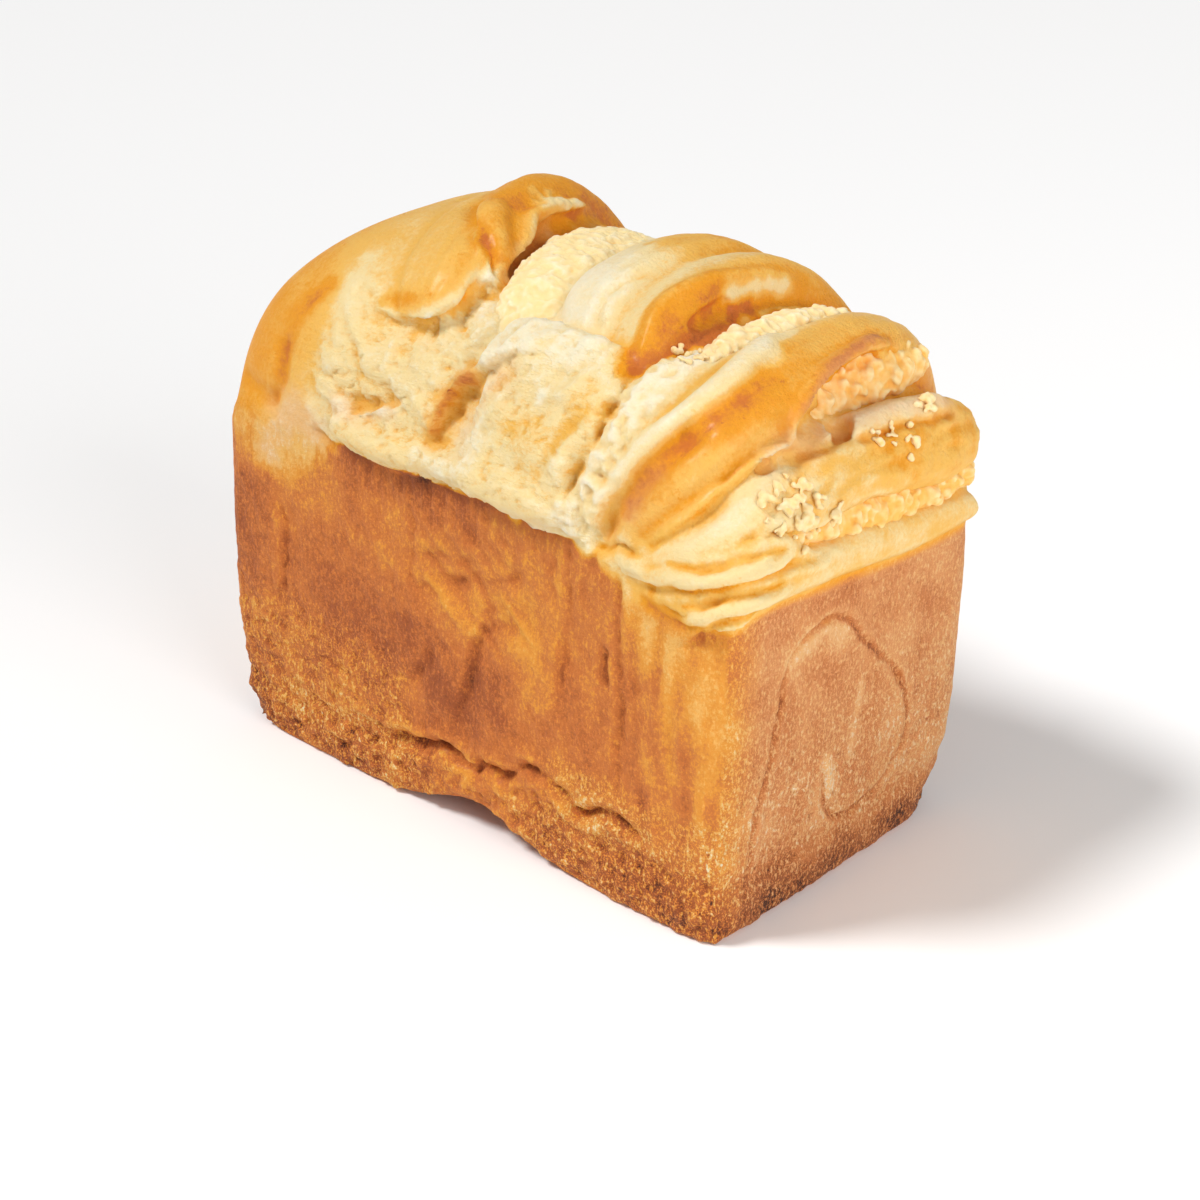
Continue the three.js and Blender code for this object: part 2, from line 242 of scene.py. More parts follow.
def plan_power(z):
    """How square the outline of the crown is at height z."""
    up = np.clip((z - WALL_TOP) / CROWN_RISE, 0, 1)
    return WALL_POWER + (CROWN_TOP_PLAN_POWER - WALL_POWER) * up**CROWN_PLAN_EASE


def crown_level(x, y, z):
    """Below 1 inside the crown, above 1 outside it."""
    inset = draw_in(z, CROWN_HALF_WIDTH, CROWN_RISE)
    power = plan_power(z)
    endwise = np.abs(x) / (CROWN_HALF_LENGTH - CROWN_END_DRAW * inset)
    sidewise = np.abs(y) / np.maximum(CROWN_HALF_WIDTH - inset, RIDGE_HALF)
    return (endwise**power + sidewise**power) ** (1 / power)


def over_crown(x, over):
    """Points of the crown at length x, `over` from 0 at the front lip to 1 at the back lip."""
    left = 1 - (np.abs(x) / CROWN_HALF_LENGTH) ** WALL_POWER
    reach = CROWN_HALF_WIDTH * left ** (1 / WALL_POWER)
    y = -reach * signed_power(np.cos(np.pi * over), 2 / CROWN_SIDE_POWER)
    low = np.full(x.shape, float(WALL_TOP))
    high = np.full(x.shape, float(WALL_TOP + CROWN_RISE))
    for _ in range(HALVINGS):
        middle = (low + high) / 2
        inside = crown_level(x, y, middle) < 1
        low = np.where(inside, middle, low)
        high = np.where(inside, high, middle)
    return np.stack([x, y, low], -1)


def round_crown(z, degrees):
    """Points of the crown at height z, at an angle in degrees about z."""
    angle = np.radians(degrees)
    reach = 1 / crown_level(np.cos(angle), np.sin(angle), z)
    return np.stack([reach * np.cos(angle), reach * np.sin(angle), z], -1)


def out_of_crown(points):
    """Directions straight out of the crown."""
    x, y = points[..., 0], points[..., 1]
    z = np.maximum(points[..., 2], WALL_TOP)
    step = SLOPE_STEP
    slope = [
        crown_level(x + step, y, z) - crown_level(x - step, y, z),
        crown_level(x, y + step, z) - crown_level(x, y - step, z),
        crown_level(x, y, z + step) - crown_level(x, y, z - step),
    ]
    return unit(np.stack(slope, -1))


def fold_path(fold, t):
    """Where a strap lies on the crown, at t between 0 and 1."""
    if "over" in fold:
        first, last = fold["over"]
        return over_crown(along(fold["along"], t), first + (last - first) * t)
    first, last = fold["turn"]
    return round_crown(along(fold["height"], t), first + (last - first) * t)


def fold_frames(fold, t):
    """Middle line of a strap, its directions along, across and out, and its half width and depth."""
    point = fold_path(fold, t)
    ahead = fold_path(fold, np.minimum(t + PATH_STEP, 1))
    behind = fold_path(fold, np.maximum(t - PATH_STEP, 0))
    way = unit(ahead - behind)
    side = unit(np.cross(way, out_of_crown(point)))
    out = np.cross(side, way)
    roll = np.radians(along(fold["roll"], t))[:, None]
    tilted_out = out * np.cos(roll) + side * np.sin(roll)
    tilted_side = side * np.cos(roll) - out * np.sin(roll)
    deep = along(fold["deep"], t)
    centre = point + out * (along(fold["rise"], t) - deep)[:, None]
    round_end = np.maximum(1 - np.abs(2 * t - 1) ** FOLD_END_POWER, 0) ** (1 / FOLD_END_POWER)
    return centre, way, tilted_side, tilted_out, along(fold["wide"], t) * round_end, deep * round_end


top = over_crown(np.zeros(1), np.full(1, 0.5))[0]
print("top of the plain crown at", np.round(top, 1), "mm")

# %% [markdown]
# ## Closed shapes from rings
# The body and every strap are tubes of rings closed by a point at each end, the simplest closed mesh
# there is. Overlapping tubes are fine here: the voxel remesh below melts them into one skin, which a
# sculptor would also do after joining rough forms.

# %% Helpers that make closed tubes
STRAP_AROUND = 40
STRAP_RINGS = 90


def tube(rings, first, last):
    """Points and faces of a tube through an array of rings, closed at a first and a last point."""
    count, around = rings.shape[:2]
    points = np.concatenate([rings.reshape(-1, 3), [first, last]])
    faces = []
    for ring in range(count - 1):
        for j in range(around):
            k = (j + 1) % around
            a = ring * around
            b = a + around
            faces.append((a + j, a + k, b + k, b + j))
    end = (count - 1) * around
    for j in range(around):
        k = (j + 1) % around
        faces.append((k, j, count * around))
        faces.append((end + j, end + k, count * around + 1))
    return points, faces


def strap_tube(fold, grow=0.0, around=STRAP_AROUND, rings=STRAP_RINGS):
    """A rounded strap laid along its path."""
    t = (1 - np.cos(np.pi * np.arange(rings + 1) / rings)) / 2
    centre, way, side, out, wide, deep = fold_frames(fold, t)
    angle = 2 * np.pi * np.arange(around) / around
    square = fold.get("square", FOLD_SIDE_POWER)
    across = (wide + grow)[:, None] * signed_power(np.cos(angle), square)[None, :]
    up = (deep + grow)[:, None] * signed_power(np.sin(angle), FOLD_DEPTH_POWER)[None, :]
    ring = centre[:, None] + across[..., None] * side[:, None] + up[..., None] * out[:, None]
    return tube(ring[1:-1], centre[0], centre[-1])


# %% The plain body
BODY_AROUND = 240
BODY_BASE_RINGS = 12
BODY_WALL_RINGS = 56
BODY_CROWN_RINGS = 44


def arch_lift(x, y):
    """Lift of the base over the hollow under its front."""
    front = ease(-y, WIDTH / 2 - ARCH_REACH, WIDTH / 2)
    return ARCH_RISE * bell(x - ARCH_X, ARCH_HALF) * front


def outline(turn, half_length, half_width, power):
    """Points of a rounded rectangle at turns between 0 and 1, closer together near its corners."""
    place = 2 * (turn - np.floor(turn))
    half = np.floor(place)
    part = place - half
    at_end = part < END_SHARE
    share = np.where(at_end, part / END_SHARE, (part - END_SHARE) / (1 - END_SHARE))
    side = -np.cos(np.pi * share)
    x = np.where(at_end, half_length, -side * half_length)
    y = np.where(at_end, side * half_width, half_width)
    total = (np.abs(x) / half_length) ** power + (np.abs(y) / half_width) ** power
    shrink = np.where(half == 0, 1, -1) * total ** (-1 / power)
    return x * shrink, y * shrink


def wall_out(z):
    """How far the wall stands out past the size of the base at height z."""
    corner = np.maximum(1 - z / BASE_ROUNDING, 0)
    swell = WALL_TAPER * z / WALL_TOP + WALL_SWELL * np.sin(np.pi * z / WALL_TOP)
    collar = COLLAR_SWELL * bell(z - COLLAR_HEIGHT / 2, COLLAR_HEIGHT / 2)
    crease = CREASE_DEPTH * bell(z - COLLAR_HEIGHT, CREASE_HALF)
    return swell + collar - crease - BASE_ROUNDING * (1 - np.sqrt(1 - corner**2))


def crown_ring(turn, up, half_length, half_width, rise):
    """Ring of a crown of given sizes, `up` from 0 at the lip to 1 at the top."""
    z = WALL_TOP + rise * np.sin(up * np.pi / 2) ** (2 / CROWN_TOP_POWER)
    inset = draw_in(z, half_width, rise)
    reach = max(half_width - inset, RIDGE_HALF)
    x, y = outline(turn, half_length - CROWN_END_DRAW * inset, reach, plan_power(z))
    return np.stack([x, y, np.full(turn.shape, z)], -1)


def body_tube():
    """Base, walls, the smooth dome at the -X end and the dough under the straps."""
    turn = np.arange(BODY_AROUND) / BODY_AROUND
    rings = []
    for ring in range(1, BODY_BASE_RINGS + BODY_WALL_RINGS + 1):
        wall = max(ring - BODY_BASE_RINGS, 0) / BODY_WALL_RINGS
        z = WALL_TOP * wall**1.2
        size = min(ring / BODY_BASE_RINGS, 1)
        x, y = outline(turn, LENGTH / 2 + wall_out(z), WIDTH / 2 + wall_out(z), WALL_POWER)
        fade = 1 - ease(z, 0, 2 * COLLAR_HEIGHT)
        rings.append(np.stack([x * size, y * size, z + arch_lift(x * size, y * size) * fade], -1))
    lip = wall_out(WALL_TOP)
    for ring in range(1, BODY_CROWN_RINGS):
        up = ring / BODY_CROWN_RINGS
        low = crown_ring(turn, up, LENGTH / 2 + lip, WIDTH / 2 + lip, CROWN_RISE - VALLEY_DROP)
        full = crown_ring(turn, up, CROWN_HALF_LENGTH, CROWN_HALF_WIDTH, CROWN_RISE)
        dome = (1 - ease(low[:, 0], DOME_FULL_X, DOME_END_X)) * ease(up, 0, DOME_START)
        rings.append(low + (full - low) * dome[:, None])
    peak = [0, 0, WALL_TOP + CROWN_RISE - VALLEY_DROP]
    return tube(np.array(rings), [0, 0, arch_lift(0, 0)], peak)


body_points, body_faces = body_tube()
print("plain body:", len(body_points), "points")

# %% [markdown]
# ## One skin over everything
# A voxel remesh fills the joined tubes with small cubes and draws one new skin round them. It closes
# all seams between straps and leaves crisp creases where they meet, as risen dough does.

# %% Join the tubes and remesh them
VOXEL = 0.85


def add_mesh(name, points, faces):
    """A new mesh object from points in millimetres of the plan."""
    mesh = bpy.data.meshes.new(name)
    moved = (np.asarray(points) - [MIDDLE_X, MIDDLE_Y, 0]) * MILLIMETRE
    mesh.from_pydata(moved.tolist(), [], faces)
    mesh.update()
    piece = bpy.data.objects.new(name, mesh)
    bpy.context.scene.collection.objects.link(piece)
    return piece


def joined(name, tubes):
    """One object holding several closed tubes."""
    points = []
    faces = []
    for tube_points, tube_faces in tubes:
        start = sum(len(p) for p in points)
        points.append(tube_points)
        faces += [tuple(start + i for i in face) for face in tube_faces]
    return add_mesh(name, np.concatenate(points), faces)


def add_remesh(piece, voxel):
    """A modifier that draws one skin round everything in a piece."""
    skin = piece.modifiers.new("one skin", "REMESH")
    skin.mode = "VOXEL"
    skin.voxel_size = voxel * MILLIMETRE


def apply_modifiers(piece):
    """Keep the result of a piece's modifiers as its mesh."""
    evaluated = piece.evaluated_get(bpy.context.evaluated_depsgraph_get())
    rough = piece.data
    piece.data = bpy.data.meshes.new_from_object(evaluated)
    piece.modifiers.clear()
    bpy.data.meshes.remove(rough)
    piece.data.name = piece.name


def read_points(piece):
    """Points of a piece in millimetres of the plan."""
    flat = np.empty(len(piece.data.vertices) * 3)
    piece.data.vertices.foreach_get("co", flat)
    return flat.reshape(-1, 3) / MILLIMETRE + [MIDDLE_X, MIDDLE_Y, 0]


def write_points(piece, points):
    """Move the points of a piece."""
    moved = (points - [MIDDLE_X, MIDDLE_Y, 0]) * MILLIMETRE
    piece.data.vertices.foreach_set("co", moved.ravel())
    piece.data.update()


def read_normals(piece):
    """Directions straight out of a piece at its points."""
    flat = np.empty(len(piece.data.vertices) * 3)
    piece.data.vertex_normals.foreach_get("vector", flat)
    return flat.reshape(-1, 3)


def skin_tree_of(piece):
    """A search tree over the faces of a piece, in millimetres of the plan."""
    polygons = [tuple(polygon.vertices) for polygon in piece.data.polygons]
    return BVHTree.FromPolygons(read_points(piece).tolist(), polygons)


rough_tubes = [(body_points, body_faces)] + [strap_tube(fold) for fold in FOLDS.values()]
loaf = joined("loaf_dough", rough_tubes)
add_remesh(loaf, VOXEL)
apply_modifiers(loaf)
print("rough skin:", len(loaf.data.vertices), "points")

# %% [markdown]
# ## Rolled edges and open gaps
# Where a sheet of dough ends, its edge rolls over and leaves a shaded gap below. Each rolled edge is
# a thin tube laid along the skin, each gap is a tube cut out of it. A Boolean modifier does the
# cutting, and a second remesh gives both of them the same even faces as the rest. The lists give
# radius, lift off the skin, bake and a few places that the line runs through. A gap's bake is painted
# shade that darkens the skin in and beside the gap.

# %% Lines laid along the skin
LINE_STEPS = 12
LINE_SMOOTH = 5
ROLL_AROUND = 18
GAP_VOXEL = 0.7

ROLLS = {
    "lip of the torn side": (
        5.5, -1.5, 0.2,
        [(-46, -56, 109), (-38, -56, 110), (-28, -56, 109), (-16, -56, 109), (-4, -56, 110)],
    ),
    "lip of the flap": (
        5.5, -1.5, 0.15,
        [(-8, -56, 110), (4, -56, 111), (16, -56, 111), (28, -56, 111), (42, -55, 110)],
    ),
    "rim of the flap": (
        3.4, -2.3, 0.12,
        [(-2, -47, 132), (4, -46, 138), (11, -46, 144), (17, -43, 148), (25, -39, 150), (36, -38, 150),
         (44, -37, 148)],
    ),
    "edge of the crest": (
        2.4, 0.2, 0.64,
        [(-13, -18, 153), (-17, -13, 156), (-22, -4, 159), (-22, 1, 161), (-25, 14, 159),
         (-25, 27, 157)],
    ),
    "tongue of the crest": (
        6.0, -3.4, 0.56, [(-30, -7, 167), (-23, -14, 164), (-16, -20, 160), (-10, -23, 155)],
    ),
    "edge of the right fold": (
        3.0, -1.4, 0.6,
        [(47, -36, 147), (45, -29, 152), (43, -21, 158), (45, -11, 161), (47, 0, 161), (50, 14, 159),
         (52, 27, 154)],
    ),
    "ridge of the strap": (
        4.8, -1.6, 0.2,
        [(65, -1, 150), (70, -16, 149), (72, -30, 148), (69, -41, 141), (62, -49, 133), (55, -53, 121),
         (48, -54, 108)],
    ),
    "lip of the strap": (
        3.0, 0.2, 0.66,
        [(84, 23, 146), (83, 14, 148), (84, 6, 148), (85, -4, 147), (87, -12, 144), (88, -18, 140),
         (89, -23, 135)],
    ),
    "inner layer": (
        4.6, -1.6, 0.3,
        [(86, -16, 129), (87, -9, 131), (88, -3, 132), (89, 3, 133), (90, 12, 132), (91, 21, 131),
         (91, 30, 129), (89, 39, 127)],
    ),
    "low edge of the strap": (
        2.2, -0.2, 0.5,
        [(89, -24, 135), (87, -34, 134), (84, -42, 129), (79, -48, 122), (69, -53, 111)],
    ),
    "first pleat": (
        2.6, -0.7, 0.3,
        [(63, -55, 103), (74, -55, 104), (86, -55, 107), (94, -48, 110), (97, -36, 110.5),
         (99, -10, 104)],
    ),
    "second pleat": (
        2.0, -0.4, 0.34,
        [(72, -55, 99), (83, -55, 101.5), (94, -49, 105), (97, -34, 105.5), (99, -18, 103)],
    ),
    "third pleat": (
        2.2, -0.6, 0.34,
        [(80, -55, 95.5), (88, -55, 98), (94, -51, 101), (97, -42, 102), (98, -33, 102)],
    ),
    "fourth pleat": (1.8, -0.5, 0.44, [(78, -55, 88), (86, -55, 92.5), (93, -53, 96), (97, -47, 98)]),
    "tip of the strip": (4.0, -1.0, 0.1, [(41, -55, 116), (43, -55, 111), (47, -55, 106)]),
}
# The bake of each gap is painted shade: it darkens the skin in and beside the gap.
GAPS = {
    "under the crest": (
        2.0, 0.2, 0.36,
        [(-10, -21, 150), (-14, -13, 154), (-18, -5, 156), (-20, 5, 157), (-22, 16, 155)],
    ),
    "under the right fold": (
        2.8, 0.2, 0.76, [(55, -20, 154), (55, -14, 155), (56, -6, 156), (57, 4, 156), (59, 14, 154)],
    ),
    "under the lip of the strap": (
        4.2, 0.0, 0.4, [(90, -10, 135), (88, 0, 138), (87, 10, 139.5), (87, 20, 139.5)],
    ),
    "slit under the strap": (
        1.3, 0.2, 0.6,
        [(84, -42, 125), (86, -38, 129), (88, -30, 131), (88, -20, 129), (90, -14, 128), (90, -6, 131)],
    ),
    "end of the lip": (2.2, 0.4, 0.6, [(-55, -53, 105), (-50, -53, 104), (-45, -54, 102)]),
}


def smoothed(line):
    """A line with its small steps evened out."""
    padded = np.pad(line, ((LINE_SMOOTH // 2, LINE_SMOOTH // 2), (0, 0)), "edge")
    return np.mean([padded[i : i + len(line)] for i in range(LINE_SMOOTH)], axis=0)


def line_on_skin(tree, points):
    """A smooth line through given points, laid onto the skin, with the way out of the skin."""
    points = np.array(points, float)
    t = np.linspace(0, 1, LINE_STEPS * len(points))
    line = np.stack([along(points[:, axis], t) for axis in range(3)], -1)
    found = [tree.find_nearest(Vector(place)) for place in line]
    on_skin = smoothed(np.array([place for place, _, _, _ in found]))
    return on_skin, unit(smoothed(np.array([out for _, out, _, _ in found])))


def rolled_tube(tree, radius, lift, points):
    """A round tube along a line on the skin, thinning at both ends."""
    line, out = line_on_skin(tree, points)
    way = unit(np.gradient(line, axis=0))
    side = unit(np.cross(way, out))
    up = np.cross(side, way)
    t = np.linspace(0, 1, len(line))
    size = radius * np.maximum(1 - np.abs(2 * t - 1) ** 4, 0) ** 0.5
    angle = 2 * np.pi * np.arange(ROLL_AROUND) / ROLL_AROUND
    middle = line + up * lift
    turn = np.cos(angle)[None, :, None] * side[:, None] + np.sin(angle)[None, :, None] * up[:, None]
    rings = middle[:, None] + size[:, None, None] * turn
    return tube(rings[1:-1], middle[0], middle[-1])


rough_tree = skin_tree_of(loaf)
roll_tubes = [rolled_tube(rough_tree, radius, lift, points) for radius, lift, _, points in ROLLS.values()]
gap_tubes = [rolled_tube(rough_tree, radius, lift, points) for radius, lift, _, points in GAPS.values()]
bpy.data.objects.remove(loaf)
loaf = joined("loaf_dough", rough_tubes + roll_tubes)
gaps = joined("gaps", gap_tubes)
add_remesh(gaps, GAP_VOXEL)
add_remesh(loaf, VOXEL)
cut = loaf.modifiers.new("gaps", "BOOLEAN")
cut.operation = "DIFFERENCE"
cut.solver = "MANIFOLD"
cut.object = gaps
add_remesh(loaf, VOXEL)
apply_modifiers(loaf)
bpy.data.objects.remove(gaps)
print("rolls:", len(ROLLS), "gaps:", len(GAPS), "skin:", len(loaf.data.vertices), "points")

# %% [markdown]
# ## Which strap each point belongs to
# Colours and wrinkles follow the straps, so every point of the skin needs to know its strap, how far
# along it lies and how far across. The nearest place on each strap's middle line gives both, and the
# strap whose surface is closest wins, with a soft change between neighbours.

# %% Places along and across the straps
SAMPLES = 90
REACH = 12
OWNER_BLUR = 1.1
PLAIN_BODY_SHARE = 0.05


def strap_places(fold, points):
    """For each point: its place along the strap, its place across it and its distance to the surface."""
    t = np.linspace(0, 1, SAMPLES)
    centre, way, side, out, wide, deep = fold_frames(fold, t)
    largest = max(wide.max(), deep.max()) + REACH
    near = np.all((points > centre.min(0) - largest) & (points < centre.max(0) + largest), axis=1)
    place = np.zeros(len(points))
    across = np.zeros(len(points))
    apart = np.full(len(points), 99.0)
    chosen = np.flatnonzero(near)
    offset = ((points[chosen, None] - centre[None]) ** 2).sum(-1)
    nearest = offset.argmin(1)
    from_centre = points[chosen] - centre[nearest]
    half_wide = np.maximum(wide[nearest], 2)
    half_deep = np.maximum(deep[nearest], 2)
    sideways = (from_centre * side[nearest]).sum(1) / half_wide
    upwards = (from_centre * out[nearest]).sum(1) / half_deep
    lengthways = (from_centre * way[nearest]).sum(1) / half_deep
    square = 2 / fold.get("square", FOLD_SIDE_POWER)
    size = (np.abs(sideways) ** square + np.abs(upwards) ** (2 / FOLD_DEPTH_POWER)) ** 0.5
    size = np.hypot(size, np.maximum(np.abs(lengthways) - 0.3, 0))
    place[chosen] = t[nearest]
    across[chosen] = np.clip(sideways, -1, 1)
    apart[chosen] = (size - 1) * half_deep
    return place, across, apart


def strap_shares(points):
    """Share of each strap in each point, with its places, and the share of the plain body."""
    places = {name: strap_places(fold, points) for name, fold in FOLDS.items()}
    closest = np.min([apart for _, _, apart in places.values()], axis=0)
    closest = np.minimum(closest, 3.0)
    weights = {}
    for name, (_, _, apart) in places.items():
        weights[name] = bell(np.maximum(apart - closest, 0), OWNER_BLUR)
    plain = ease(closest, 1.2, 3.0) + PLAIN_BODY_SHARE
    total = plain + sum(weights.values())
    shares = {name: weight / total for name, weight in weights.items()}
    return places, shares, plain / total


skin_points = read_points(loaf)
places, shares, plain_share = strap_shares(skin_points)
for name, share in shares.items():
    print(f"{name}: {share.sum():.0f} points")

# %% [markdown]
# ## Relief of the skin
# Dough is never smooth: the walls are wrinkled by the tin, the torn sides are stringy and the straps
# have stretch lines. A Displace modifier could do one of these, but each has its own place and
# direction, so the skin is moved by numpy noise along its normals, as much as the place asks for.

# %% Seeded noise
def noise(points, size, seed):
    """Smooth noise of about -1 to 1, with bumps about `size` millimetres apart."""
    rng = np.random.default_rng(seed)
    table = rng.permutation(256)
    slopes = unit(rng.normal(size=(256, 3)))
    scaled = points / np.asarray(size, float)
    cell = np.floor(scaled).astype(int)
    inside = scaled - cell
    fade = inside**3 * (inside * (inside * 6 - 15) + 10)
    total = np.zeros(len(points))
    for corner in np.ndindex(2, 2, 2):
        corner = np.array(corner)
        x, y, z = ((cell + corner) & 255).T
        slope = slopes[table[(table[(table[x] + y) & 255] + z) & 255]]
        share = np.where(corner, fade, 1 - fade).prod(1)
        total += share * (slope * (inside - corner)).sum(1)
    return total * 1.7


def relax(piece, points, weight, rounds):
    """Draw each point towards the mean of its neighbours, as much as its weight says."""
    flat = np.empty(len(piece.data.edges) * 2, dtype=np.int64)
    piece.data.edges.foreach_get("vertices", flat)
    first, second = flat.reshape(-1, 2).T
    count = len(points)
    links = np.maximum(np.bincount(flat, minlength=count), 1)[:, None]
    for _ in range(rounds):
        total = np.zeros(points.shape)
        for axis in range(3):
            values = points[:, axis]
            from_second = np.bincount(first, values[second], count)
            total[:, axis] = from_second + np.bincount(second, values[first], count)
        points = points + np.reshape(weight, (-1, 1)) * (total / links - points)
    return points


skin_points = relax(loaf, skin_points, np.full(len(skin_points), 0.5), 2)
write_points(loaf, skin_points)
print("skin smoothed once, highest point", round(skin_points[:, 2].max(), 1), "mm")

# %% [markdown]
# ## Creases drawn one by one
# The big wrinkles of this loaf have their own places: the roll line on the end, the rough crease
# above the base and the folds of the front wall. Each is a stroke through a few points, given as
# depth, half width and places. A crease is sharp at its bottom and pushes up a low bank on both
# sides, as folded skin does.

# %% Soft dents and sharp creases
SOFT_STROKES = {
    "bowl of the flap": (1.6, 9, [(14, -54, 124), (24, -52, 133)]),
    "furrow of the dome": (1.6, 3, [(-68, -50, 125), (-68, -52, 116), (-72, -54, 108)]),
    "notch of the dome": (1.2, 3, [(-84, -51, 111), (-77, -53, 110), (-72, -53, 109)]),
    "valley of the strap": (2.6, 5, [(70, -43, 136), (65, -48, 129), (59, -52, 120), (54, -54, 110)]),
    "upper valley of the strap": (1.2, 6, [(76, -22, 148), (75, -34, 143), (71, -42, 137)]),
    "round foot": (6, 10, [(94, 53, 1)]),
    "left foot": (3, 8, [(-91, -53, 1)]),
}
EVENED = {
    "foot of the flap": (7, [(2, -52, 119), (3, -50, 125), (5, -50, 130), (10, -49, 136)]),
}
EVEN_ROUNDS = 40
CREASES = {
    "left crease": (0.9, 1.3, [(-71, -55, 80), (-68, -55, 74), (-68, -55, 60), (-70, -55, 47)]),
    "stretch seam": (0.5, 1.3, [(-15, -55, 100), (-15, -55, 83), (-17, -55, 66)]),
    "long seam": (
        0.8, 1.2,
        [(59, -55, 100), (60, -55, 84), (60, -55, 72), (61, -55, 61), (60, -55, 47), (60, -55, 30)],
    ),
    "slit beside the seam": (1.4, 1.4, [(55, -55, 77), (55, -55, 71), (56, -55, 66)]),
    "seam under the strip": (0.8, 1.4, [(42, -55, 100), (43, -55, 92), (42, -55, 80)]),
    "collar crease left": (
        2.4, 1.8,
        [(-36, -53, 14), (-23, -54, 19), (-15, -54, 20), (-7, -54, 23), (-1, -54, 23), (5, -54, 20)],
    ),
    "collar crease middle": (
        2.4, 1.8, [(5, -54, 20), (14, -54, 24), (19, -54, 23), (26, -54, 29), (33, -54, 29)],
    ),
    "collar crease right": (
        2.4, 1.8,
        [(33, -54, 29), (41, -54, 27), (46, -54, 23), (54, -55, 27), (60, -54, 27), (68, -54, 25)],
    ),
    "roll line rising": (
        1.0, 1.0, [(93, -41, 4), (93, -39, 33), (94, -34, 52), (94, -30, 70), (94, -27, 77)],
    ),
    "roll line top": (
        1.0, 1.0, [(94, -27, 77), (94, -22, 81), (94, -13, 83), (94, -5, 81), (94, 2, 73)],
    ),
    "roll line falling": (
        1.2, 1.0, [(94, 2, 73), (94, 8, 67), (94, 16, 60), (94, 22, 53), (94, 26, 42)],
    ),
    "roll line bottom": (
        0.9, 1.0, [(94, 26, 42), (94, 26, 31), (93, 16, 20), (93, 4, 18), (93, -4, 20), (94, -9, 26)],
    ),
    "roll line hook": (1.0, 1.0, [(94, -9, 26), (94, -10, 33), (94, -10, 40)]),
    "groove of the left fold": (
        1.2, 1.4, [(30, -12, 161), (27, -20, 158), (28, -28, 153), (32, -33, 149)],
    ),
    "crack over the end filling": (
        1.6, 1.2, [(92, -47, 117), (96, -38, 117), (97, -28, 113), (97, -18, 110)],
    ),
    "groove of the strip": (
        2.0, 1.8, [(48, -38, 144), (48, -45, 138), (47, -50, 131), (43, -54, 120), (43, -57, 113)],
    ),
    "slit of the first pleat": (
        1.0, 1.1, [(68, -55, 99), (83, -55, 104), (94, -47, 107.3), (97, -34, 107.6), (99, -18, 106)],
    ),
    "slit of the second pleat": (
        1.0, 1.1, [(80, -55, 99), (88, -55, 100.5), (94, -50, 103), (97, -38, 103.6)],
    ),
    "slit inside the first pleat": (
        0.7, 0.9, [(76, -55, 105), (86, -55, 108), (94, -48, 110.5), (97, -38, 111)],
    ),
    "slit of the fourth pleat": (0.9, 0.9, [(84, -55, 89), (89, -55, 93.5), (95, -51, 96.5)]),
    "fan line": (0.7, 0.9, [(74, -55, 97), (82, -55, 96.5), (88, -55, 99)]),
    "slit of the third pleat": (
        0.9, 1.0, [(83, -55, 93.5), (88, -55, 95.5), (94, -52, 98.3), (97, -44, 99.5)],
    ),
    "slit over the pleats": (
        0.9, 1.2, [(78, -55, 108), (86, -55, 110), (94, -49, 113), (98, -37, 113)],
    ),
    "slit under the layer": (
        1.2, 1.0,
        [(89, -12, 128), (91, -4, 129), (93, 6, 129), (94, 16, 128), (94, 26, 126), (92, 36, 124)],
    ),
    "under the strap's end": (1.4, 1.2, [(51, -54, 104), (58, -54, 106), (64, -54, 107)]),
}
print("soft strokes:", len(SOFT_STROKES), "creases:", len(CREASES))

# %% [markdown]
# ## Edges of sheets
# Where one sheet of dough lies over another, the skin drops by a step. A step is drawn like a crease,
# but it has a list of depths along its line, the skin falls on the right-hand side only, and it rises
# again over a reach. The soft wrinkles of the front wall are the same thing with a rounder face.

